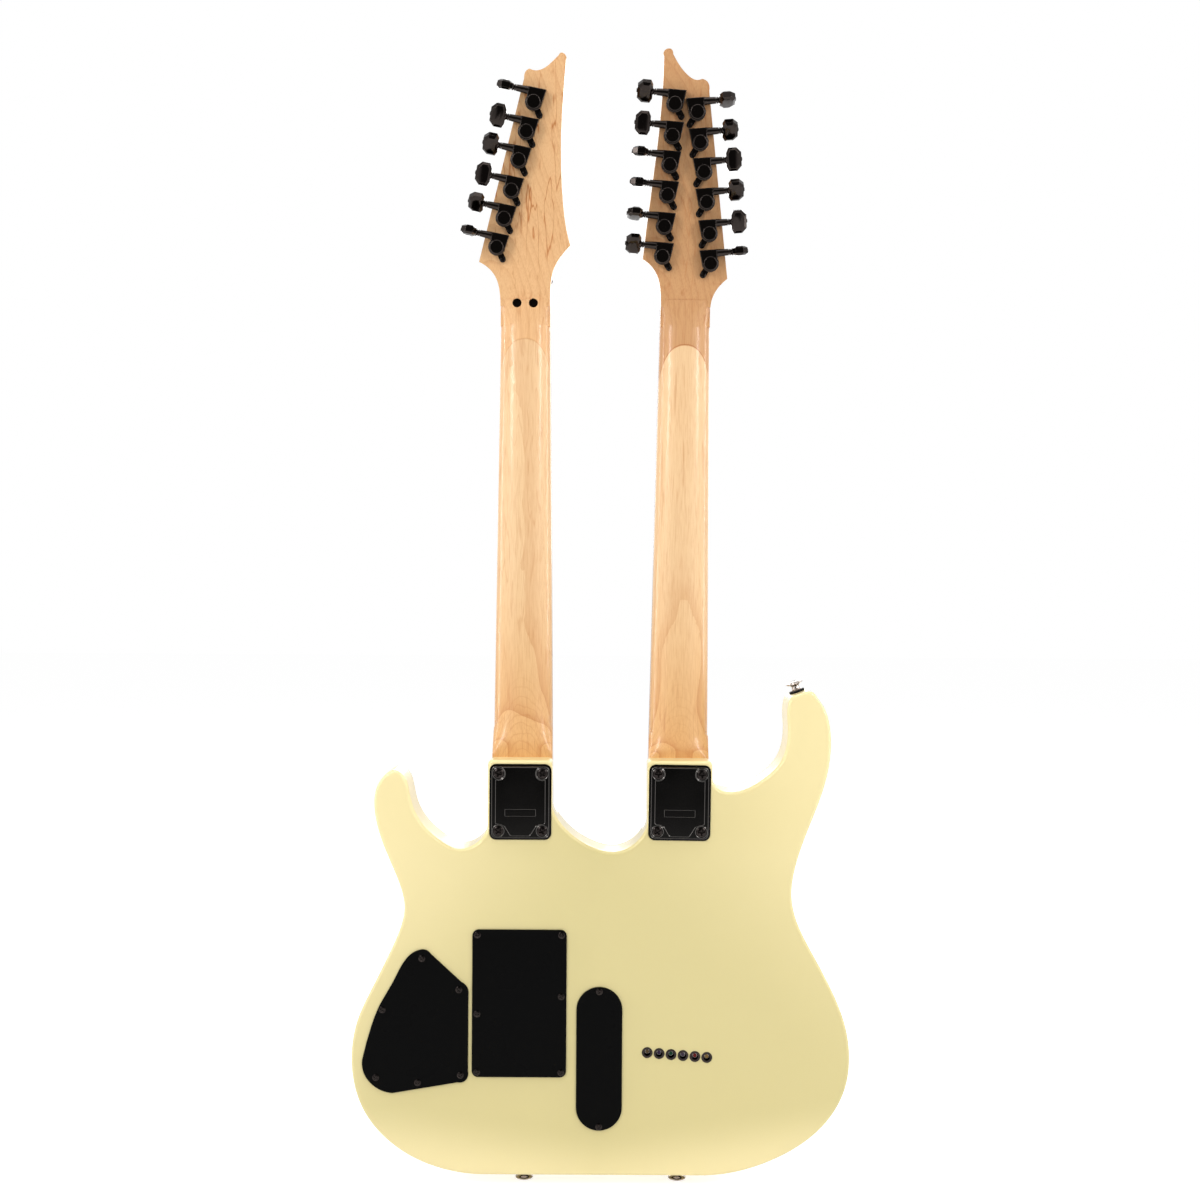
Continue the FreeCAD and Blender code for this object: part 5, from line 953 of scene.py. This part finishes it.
# %% A tree that sets out one part
def new_geometry_tree(name, inputs):
    """A Geometry Nodes tree with named inputs, and its inner input sockets."""
    tree = bpy.data.node_groups.new(name, "GeometryNodeTree")
    for label, kind in inputs:
        tree.interface.new_socket(label, in_out="INPUT", socket_type="NodeSocket" + kind)
    tree.interface.new_socket("Pieces", in_out="OUTPUT", socket_type="NodeSocketGeometry")
    return tree, tree.nodes.new("NodeGroupInput").outputs


def ended(tree, geometry, finish):
    """The tree with its last nodes: the copies become one mesh, in its finish."""
    joined = add(tree, "GeometryNodeRealizeInstances", {"Geometry": geometry})
    in_finish = add(tree, "GeometryNodeSetMaterial", {"Geometry": joined.outputs[0], "Material": finish})
    tree.links.new(in_finish.outputs[0], tree.nodes.new("NodeGroupOutput").inputs["Pieces"])
    return tree


def set_out_tree():
    tree, given = new_geometry_tree("set_out", [
        ("Places", "Geometry"), ("Part", "Object"), ("Finish", "Material"), ("Largest Turn", "Float"),
        ("Seed", "Int")])
    facing = add(tree, "GeometryNodeInputNamedAttribute", {"Name": "facing"}, data_type="FLOAT_VECTOR")
    aim = add(tree, "FunctionNodeAlignRotationToVector", {"Vector": facing.outputs["Attribute"]}, axis="Z")
    chance = add(tree, "FunctionNodeRandomValue", {"Seed": given["Seed"]}, data_type="FLOAT")
    angle = maths(tree, "MULTIPLY", chance.outputs[1], given["Largest Turn"])
    spin = add(tree, "FunctionNodeAxisAngleToRotation", {"Axis": (0, 0, 1), "Angle": angle})
    stance = add(tree, "FunctionNodeRotateRotation",
                 {"Rotation": aim.outputs[0], "Rotate By": spin.outputs[0]}, rotation_space="LOCAL")
    part = add(tree, "GeometryNodeObjectInfo", {"Object": given["Part"]})
    copies = add(tree, "GeometryNodeInstanceOnPoints", {
        "Points": given["Places"], "Instance": part.outputs["Geometry"], "Rotation": stance.outputs[0]})
    return ended(tree, copies.outputs[0], given["Finish"])


set_out_group = set_out_tree()


def socket_ids(tree):
    """Each input's identifier, by its name."""
    return {item.name: item.identifier for item in tree.interface.items_tree if item.in_out == "INPUT"}


def grown(name, points, tree, values, edges=()):
    """The plain mesh that a tree makes from points, each a place and a direction."""
    mesh = bpy.data.meshes.new(name + "_places")
    mesh.from_pydata([place for place, facing in points], edges, [])
    facings = mesh.attributes.new("facing", "FLOAT_VECTOR", "POINT")
    facings.data.foreach_set("vector", [part for place, facing in points for part in facing])
    holder = new_object(name + "_places", mesh)
    grower = holder.modifiers.new("grow", "NODES")
    grower.node_group = tree
    identifiers = socket_ids(tree)
    for label, value in values.items():
        grower[identifiers[label]] = value
    evaluated = holder.evaluated_get(bpy.context.evaluated_depsgraph_get())
    result = bpy.data.meshes.new_from_object(evaluated)
    holder.modifiers.remove(grower)
    bpy.data.objects.remove(holder)
    return result


def set_out(name, part, points, finish, body, turn=0.0, seed=1, replaced=()):
    """One part set out at many points, as one finished piece."""
    pattern = new_object(name + "_part", part)
    values = {"Part": pattern, "Finish": finish, "Largest Turn": turn, "Seed": seed}
    mesh = grown(name, points, set_out_group, values)
    bpy.data.objects.remove(pattern)
    smoothed(mesh)
    return new_piece(name, mesh, None, body, replaced)


print("tree:", set_out_group.name, "inputs:", list(socket_ids(set_out_group)))

# %% [markdown]
# ## Screws
# A cross-headed screw has a domed head with a tapered cross pressed into it. The head is a disc of rings.
# Each point's height is that of the dome, less the depth of the cross where it lies inside an arm. The same
# head, at three sizes, holds the neck plates, the back covers and the tuners' ears. No two screws stop
# at the same turn.

# %% Screw heads
plate_screw = {"radius": 4.3, "rise": 1.7, "shank": 2.2}
cover_screw = {"radius": 3.0, "rise": 1.1, "shank": 1.4}
head_rings = 11
head_steps = 48
arm_share = 0.60
arm_width = 0.13
arm_blend = 0.07
cross_depth = 0.80
cross_taper = 0.3
dome_fall = 0.45
ear_out = 6.9
ear_down = 9.6
ear_thick = 2.4


def arm_depth(across, along):
    """How far a point lies inside one arm of the cross, from 0 to 1."""
    side = (arm_width + arm_blend - abs(across)) / arm_blend
    end = (arm_share + arm_blend - abs(along)) / arm_blend
    return max(0, min(1, side, end))


def screw_mesh(name, radius, rise, shank, length):
    """A screw along Z whose head stands above zero and whose shank goes down."""
    form = bmesh.new()
    rings = [[form.verts.new((0, 0, rise * (1 - cross_depth) * mm))]]
    for ring in range(1, head_rings + 1):
        share = ring / head_rings
        points = []
        for turn in round_steps(head_steps, head_steps):
            x, y = share * cos(turn), share * sin(turn)
            dip = cross_depth * max(arm_depth(x, y), arm_depth(y, x))
            height = rise * (1 - dome_fall * share ** 3 - dip * (1 - cross_taper * share))
            points.append(form.verts.new(Vector((x * radius, y * radius, height)) * mm))
        rings.append(points)
    for out, height in ((radius, 0), (shank, 0), (shank, shank - length), (0, -length)):
        rings.append([form.verts.new(Vector((out * cos(turn), out * sin(turn), height)) * mm)
                      for turn in round_steps(head_steps if out else 1, head_steps)])
    join_rings(form, rings, head_steps)
    return closed_mesh(form, name)


def island_boxes(node):
    """The lowest and highest corners of each loose part of a CAD node."""
    form = bmesh.new()
    form.from_mesh(frame["nodes"][node].data)
    bmesh.ops.remove_doubles(form, verts=form.verts, dist=weld_gap)
    found, seen = [], set()
    for start in form.verts:
        if start in seen:
            continue
        seen.add(start)
        island, waiting = [], [start]
        while waiting:
            point = waiting.pop()
            island.append(point.co)
            for edge in point.link_edges:
                other = edge.other_vert(point)
                if other not in seen:
                    seen.add(other)
                    waiting.append(other)
        found.append([Vector([pick(point[axis] for point in island) for axis in range(3)])
                      for pick in (min, max)])
    form.free()
    return found


def back_screws(name, node, seed, radius, rise, shank):
    """Screws in the back, in place of a CAD node of screws."""
    boxes = island_boxes(node)
    seats = [Vector(((low.x + high.x) / 2, low.y + rise * mm, (low.z + high.z) / 2)) for low, high in boxes]
    length = (boxes[0][1].y - seats[0].y) / mm
    part = screw_mesh(name + "_one", radius, rise, shank, length)
    set_out(name, part, [(seat, (0, -1, 0)) for seat in seats], black_screw, "guitar",
            2 * pi, seed, [node])
    return len(seats)


def ear_places():
    """Seats of the small screws in the tuners' ears."""
    places = []
    for key in key_turns:
        along, square, up, anchor = tuner_axes(key)
        post = anchor - along * sleeve_reach * mm + square * key_height * mm - up * key_offset * mm
        places.append((post - (along * ear_out + square * ear_thick + up * ear_down) * mm, -square))
    return places


plate_boxes = island_boxes("neck_screws")
print("plate screws:", back_screws("plate_screws", "neck_screws", 3, **plate_screw))
print("cover screws:", back_screws("lid_screws", "cover_screws", 5, **cover_screw))
ear_screw = screw_mesh("ear_screw", 2.45, 1.7, 1.1, 6.0)
set_out("ear_screws", ear_screw, ear_places(), black_screw, "guitar", 2 * pi, 7)
print("ear screws:", len(key_turns))

# %% [markdown]
# ## Edges of the neck plates
# A raised panel with cut lower corners, a ring round each screw, an empty label and a rolled rim are pressed in
# each plate. The flat metal mirrors the dark card, so only these edges catch the light. Each edge is a thin bead
# that follows a closed path, and the panel's own path steps in round the screws. The beads are in a paler copy of
# the plate's black metal, a painted highlight along every edge. A tree turns the paths into curves and draws a
# small circle along them.

# %% Plate edges
panel_face, rim_face = -2.9, -2.4
rim_half_width, rim_half_height, rim_corner = 25.1, 31.1, 4.4
seat_ring, seat_step = 5.2, 6.0
label_half_width, label_low, label_high = 13.5, -12.2, -6.2
edge_bead, ring_bead, label_bead = 0.34, 0.30, 0.22
arc_steps = 20
panel_path = [(8.6, -29.4), (13.8, -20.9), (21.8, -18.6), (21.8, 30.6)]
screw_seats = [(x, z) for x in (-19.25, 19.25) for z in (-25.2, 25.2)]


def oblong(half_width, low, high):
    return [Vector(point) for point in ((half_width, low), (half_width, high), (-half_width, high),
                                        (-half_width, low))]


def softened(corners, radius, steps=5):
    """A closed path whose corners are rounded."""
    path = []
    for index, corner in enumerate(corners):
        here = Vector(corner)
        before, after = Vector(corners[index - 1]), Vector(corners[(index + 1) % len(corners)])
        start = here + (before - here).normalized() * radius
        end = here + (after - here).normalized() * radius
        for step in range(steps):
            share = step / (steps - 1)
            path.append(start * (1 - share) ** 2 + here * 2 * share * (1 - share) + end * share ** 2)
    return path


def divided(path, spacing=0.4):
    """A closed path with a point at every short step."""
    found = []
    for index, start in enumerate(path):
        end = path[(index + 1) % len(path)]
        count = max(1, round((end - start).length / spacing))
        found += [start.lerp(end, step / count) for step in range(count)]
    return found


def circle(centre, radius, steps=40):
    return [Vector(centre) + Vector((cos(turn), sin(turn))) * radius for turn in round_steps(steps, steps)]


def stepped_in(path, centre, radius):
    """The path with its part inside a circle replaced by the arc of the circle on the inner side."""
    centre = Vector(centre)
    inside = [(point - centre).length < radius for point in path]
    if not any(inside):
        return path
    first = next(index for index in range(len(path)) if inside[index] and not inside[index - 1])
    path, inside = path[first:] + path[:first], inside[first:] + inside[:first]
    kept = path[inside.index(False):]
    start, end = kept[-1] - centre, kept[0] - centre
    begin = atan2(start.y, start.x)
    sweep = (atan2(end.y, end.x) - begin) % (2 * pi)
    middle = Vector((cos(begin + sweep / 2), sin(begin + sweep / 2)))
    if middle.dot(centre) > 0:
        sweep -= 2 * pi
    turns = [begin + sweep * step / arc_steps for step in range(1, arc_steps)]
    return kept + [centre + Vector((cos(turn), sin(turn))) * radius for turn in turns]


def bead_tree():
    """A round bead along every closed path of a mesh's edges."""
    tree, given = new_geometry_tree("bead", [
        ("Paths", "Geometry"), ("Finish", "Material"), ("Bead Radius", "Float")])
    lines = add(tree, "GeometryNodeMeshToCurve", {"Mesh": given["Paths"]})
    section = add(tree, "GeometryNodeCurvePrimitiveCircle", {"Resolution": 8, "Radius": given["Bead Radius"]})
    swept = add(tree, "GeometryNodeCurveToMesh",
                {"Curve": lines.outputs[0], "Profile Curve": section.outputs[0]})
    return ended(tree, swept.outputs[0], given["Finish"])


def beads(tree, paths, radius):
    """The beads on both plates along flat closed paths, each with its depth in the plate."""
    points, edges = [], []
    for path, depth in paths:
        for place in plate_places:
            first = len(points)
            points += [(place @ (Vector((point.x, depth, point.y)) * mm), (0, -1, 0)) for point in path]
            edges += [(first + index, first + (index + 1) % len(path)) for index in range(len(path))]
    return grown("plate_paths", points, tree, {"Finish": plate_edge_highlight, "Bead Radius": radius * mm}, edges)


panel = [Vector(point) for point in panel_path] + [Vector((-x, z)) for x, z in reversed(panel_path)]
panel = divided(softened(panel, 1.0))
for seat in screw_seats:
    panel = stepped_in(panel, seat, seat_step)
rim = divided(softened(oblong(rim_half_width, -rim_half_height, rim_half_height), rim_corner, 9))
label = divided(oblong(label_half_width, label_low, label_high))
plate_places = []
for side, lean in ((-1, 0.0), (1, radians(twelve_lean))):
    seats = [(low + high) / 2 for low, high in plate_boxes if (low.x + high.x) * side > 0]
    middle = sum(seats, Vector()) / len(seats)
    plate_places.append(Matrix.Translation((middle.x, 0, middle.z)) @ Matrix.Rotation(lean, 4, "Y"))
form, one_bead = bmesh.new(), bead_tree()
for paths, radius in (([(rim, rim_face), (panel, panel_face)], edge_bead),
                      ([(circle(seat, seat_ring), panel_face) for seat in screw_seats], ring_bead),
                      ([(label, panel_face)], label_bead)):
    form.from_mesh(beads(one_bead, paths, radius))
edges = closed_mesh(form, "plate_edges")
smoothed(edges)
new_piece("plate_edges", edges, plate_edge_highlight, "guitar")
print("plate edges:", len(edges.polygons), "faces")

# %% [markdown]
# ## String ends in the ferrules
# Six strings of the twelve-string side go through the body. Each ends in a small turned barrel that sits
# deep in its ferrule. The barrels are dyed by string: brass, violet, green, grey violet, red and brass.

# %% String ends
string_end_tones = [(96, 78, 52), (62, 44, 74), (28, 74, 52), (74, 62, 78), (112, 30, 28), (142, 112, 60)]
string_end_profile = [(-0.35, 0), (-0.35, 0.6), (0, 0.95), (0, 1.6), (0.3, 2.05), (0.9, 2.05), (1.2, 1.95),
                      (3.0, 1.95), (3.3, 2.05), (3.9, 2.05), (4.2, 1.6), (4.2, 0)]
string_end_depth = 2.9
string_end_fade = 0.8
for number, ((low, high), shade) in enumerate(zip(island_boxes("string_ferrules"), string_end_tones)):
    darker = [part * string_end_fade for part in shade]
    dye = make_even_finish("string_end_dye_" + str(number + 1), shade, darker, 0.3, 0.003, 0.25, 0.4,
                           Metallic=0.8)
    middle = (low + high) / 2
    place = pointing((0, 1, 0), (middle.x, string_end_depth * mm, middle.z))
    barrel = turned("string_end_" + str(number + 1), string_end_profile, place, 24)
    smoothed(barrel)
    new_piece("string_end_" + str(number + 1), barrel, dye, "guitar")
print("string ends:", len(string_end_tones))

# %% [markdown]
# ## Strap buttons
# A strap button is a turned spool: a foot on the felt, a slim waist, and a wide thin flange that keeps the
# strap on. Its screw head lies in a dish at the top. Two stand on the tail, and the guitar rests on
# these. The third leans outwards on the long horn.

# %% Strap buttons
strap_profile = [(1.8, 0), (1.8, 4.9), (2.3, 5.0), (2.9, 4.5), (3.6, 3.7), (4.6, 3.4), (5.8, 3.5), (6.8, 4.4),
                 (7.4, 5.8), (7.9, 7.4), (8.3, 7.9), (8.8, 8.0), (9.2, 7.8), (9.8, 6.6), (10.3, 5.0),
                 (10.4, 4.1), (10.2, 3.7), (9.1, 3.5), (9.0, 0)]
strap_middle = 21.0
strap_screw_seat = 9.05
horn_seat = (176.8, strap_middle, 170.6)
horn_lean = 18.9
tail = cad_box[0].z / mm + strap_profile[15][0]
strap_seats = [(Vector((x, strap_middle, tail)) * mm, Vector((0, 0, -1))) for x in (-64.8, 71.6)]
strap_seats.append((Vector(horn_seat) * mm, Vector((-sin(radians(horn_lean)), 0, cos(radians(horn_lean))))))
form = bmesh.new()
for seat, outward in strap_seats:
    lathe(form, strap_profile, pointing(outward, seat), 48)
spools = closed_mesh(form, "strap_spools")
smoothed(spools)
new_piece("strap_spools", spools, dark_nickel, "guitar", ["strap_buttons"])
strap_screw = screw_mesh("strap_screw", 3.3, 1.3, 2.0, 30.0)
screw_places = [(seat + outward * strap_screw_seat * mm, outward) for seat, outward in strap_seats]
set_out("strap_screws", strap_screw, screw_places, dark_nickel, "guitar", 2 * pi, 11)
print("strap buttons:", len(strap_seats))

# %% [markdown]
# ## Fret markers
# Pale dots in the fingerboards mark every other fret or so, with a pair at each octave. Both boards are
# slightly crowned, so each dot is a thin lens that follows the crown. The front isn't in the photograph, so
# the usual places are taken.

# %% Fret markers
scale_length = 648.0
nut_height = 514.0
saddle_height = -134.0
string_gap = 69.0
crown_top = 51.0
marker_profile = [(-0.6, 0), (-0.6, 3.2), (-0.02, 3.2), (0.03, 2.6), (0.05, 0)]
marked_frets = [3, 5, 7, 9, 15, 17, 19, 21]
octave_frets = [12, 24]
octave_spread = 9.0


def on_neck(point, twelve):
    """A point of a neck's own frame, in millimetres, brought to its place on the guitar."""
    if not twelve:
        return (Vector(point) - Vector((string_gap, 0, 0))) * mm
    pivot = Vector((0, 0, saddle_height))
    lean = Matrix.Rotation(radians(twelve_lean), 3, "Y")
    return (lean @ (Vector(point) - pivot) + pivot + Vector((string_gap, 0, 0))) * mm


def marker_height(fret):
    upper = 0.5 ** ((fret - 1) / 12)
    lower = 0.5 ** (fret / 12)
    return nut_height - scale_length * (1 - (upper + lower) / 2)


pearl = make_even_finish("pearl", (236, 232, 222), (214, 212, 206), 2, 0.004, 0.2, 0.3, 6,
                         Specular_IOR_Level=0.5)
marker = turned("marker", marker_profile, upright, 24)
marks = [(0, fret) for fret in marked_frets]
marks += [(side * octave_spread, fret) for fret in octave_frets for side in (-1, 1)]
places = [(on_neck((x, crown_top, marker_height(fret)), twelve), (0, 1, 0))
          for twelve in (False, True) for x, fret in marks]
set_out("fret_markers", marker, places, pearl, "guitar")
print("fret markers:", len(places))

# %% [markdown]
# ## Pole pieces
# Under each string, a pickup has two steel screws whose slotted tops show in its face. They are the
# same part, forty-eight times, so the tree sets them out.

# %% Pole pieces
pole_profile = [(-0.5, 0), (-0.5, 2.3), (0.35, 2.3), (0.55, 2.1), (0.55, 0.9), (-0.2, 0.8), (-0.2, 0)]
pole_face = 48.6
pole_row = 9.2
pickup_middles = [-0.99, -92.99]
string_spread = 53.5
pole_screw = turned("pole", pole_profile, upright, 18)
poles = [(string_spread * (string / 5 - 0.5), pole_face, middle + row * pole_row)
         for middle in pickup_middles for row in (-1, 1) for string in range(6)]
places = [(on_neck(pole, twelve), (0, 1, 0)) for twelve in (False, True) for pole in poles]
set_out("pole_screws", pole_screw, places, bare_steel, "guitar")
print("pole screws:", len(places))

# %% [markdown]
# ## Knobs
# The volume and tone knobs are turned from solid bar, knurled round the side for grip and left smooth at
# the rim. The lathe's steps are many and fine, and every other step of the knurled rings is cut a
# little deeper.

# %% Knobs
knob_profile = [(0, 0), (0, 9.3), (0.5, 9.8), (1.4, 9.8), (1.9, 9.5), (10.9, 9.3), (11.4, 9.3), (12.9, 9.2),
                (13.7, 8.7), (14.0, 7.9), (13.6, 6.4), (13.4, 0)]
knurl_low = 4
knurl_high = 5
knurl_depth = 0.45
knob_steps = 96
knob_height = 14.0


def make_knob(body):
    low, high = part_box(body)
    foot = Vector(((low.x + high.x) / 2, high.y - knob_height * mm, (low.z + high.z) / 2))
    form = bmesh.new()
    place = pointing((0, 1, 0), foot)
    lathe(form, knob_profile, place, knob_steps)
    form.verts.ensure_lookup_table()
    for ring in (knurl_low, knurl_high):
        first = 1 + (ring - 1) * knob_steps
        for step in range(0, knob_steps, 2):
            point = form.verts[first + step].co
            inward = Vector((foot.x, point.y, foot.z)) - point
            point += inward.normalized() * knurl_depth * mm
    mesh = closed_mesh(form, body + "_turned")
    smoothed(mesh)
    new_piece(body + "_turned", mesh, black_chrome, body, [body])


for body in ("volume_knob", "tone_knob"):
    make_knob(body)
print("knobs turned")

# %% [markdown]
# ## Tremolo springs
# Three coil springs pull against the strings from the cavity under the largest cover. A tree draws one
# spiral at each point, runs a round wire along it and keeps the result.

# %% Springs
def spring_tree():
    tree, given = new_geometry_tree("coil_spring", [
        ("Places", "Geometry"), ("Finish", "Material"), ("Coil Radius", "Float"), ("Wire Radius", "Float"),
        ("Length", "Float"), ("Turns", "Float")])
    spiral = add(tree, "GeometryNodeCurveSpiral", {
        "Resolution": 14, "Rotations": given["Turns"], "Start Radius": given["Coil Radius"],
        "End Radius": given["Coil Radius"], "Height": given["Length"]})
    section = add(tree, "GeometryNodeCurvePrimitiveCircle", {"Resolution": 6, "Radius": given["Wire Radius"]})
    wire = add(tree, "GeometryNodeCurveToMesh", {
        "Curve": spiral.outputs[0], "Profile Curve": section.outputs[0], "Fill Caps": True})
    copies = add(tree, "GeometryNodeInstanceOnPoints",
                 {"Points": given["Places"], "Instance": wire.outputs[0]})
    return ended(tree, copies.outputs[0], given["Finish"])


spring_end = 12.0
spring_radius = 3.0
spring_wire = 0.6
spring_turns = 46.0
spring_boxes = island_boxes("tremolo_springs")
spring_length = spring_boxes[0][1].z - spring_boxes[0][0].z - 2 * spring_end * mm
spring_feet = [(Vector(((low.x + high.x) / 2, (low.y + high.y) / 2, low.z + spring_end * mm)), (0, 0, 1))
               for low, high in spring_boxes]
coils = grown("spring_coils", spring_feet, spring_tree(), {
    "Finish": bare_steel, "Coil Radius": spring_radius * mm, "Wire Radius": spring_wire * mm,
    "Length": spring_length, "Turns": spring_turns})
hook_form = bmesh.new()
for (foot, way) in spring_feet:
    for start in (foot - Vector((0, 0, spring_end * mm)), foot + Vector((0, 0, spring_length))):
        lathe(hook_form, [(0, 0), (0, spring_wire), (spring_end, spring_wire), (spring_end, 0)],
              pointing((0, 0, 1), start), 10)
hook_form.from_mesh(coils)
springs = closed_mesh(hook_form, "tremolo_spring_coils")
smoothed(springs)
new_piece("tremolo_spring_coils", springs, bare_steel, body_of["tremolo_springs"],
          ["tremolo_springs"])
print("springs:", len(spring_feet), "length:", round(spring_length / mm, 1), "mm")
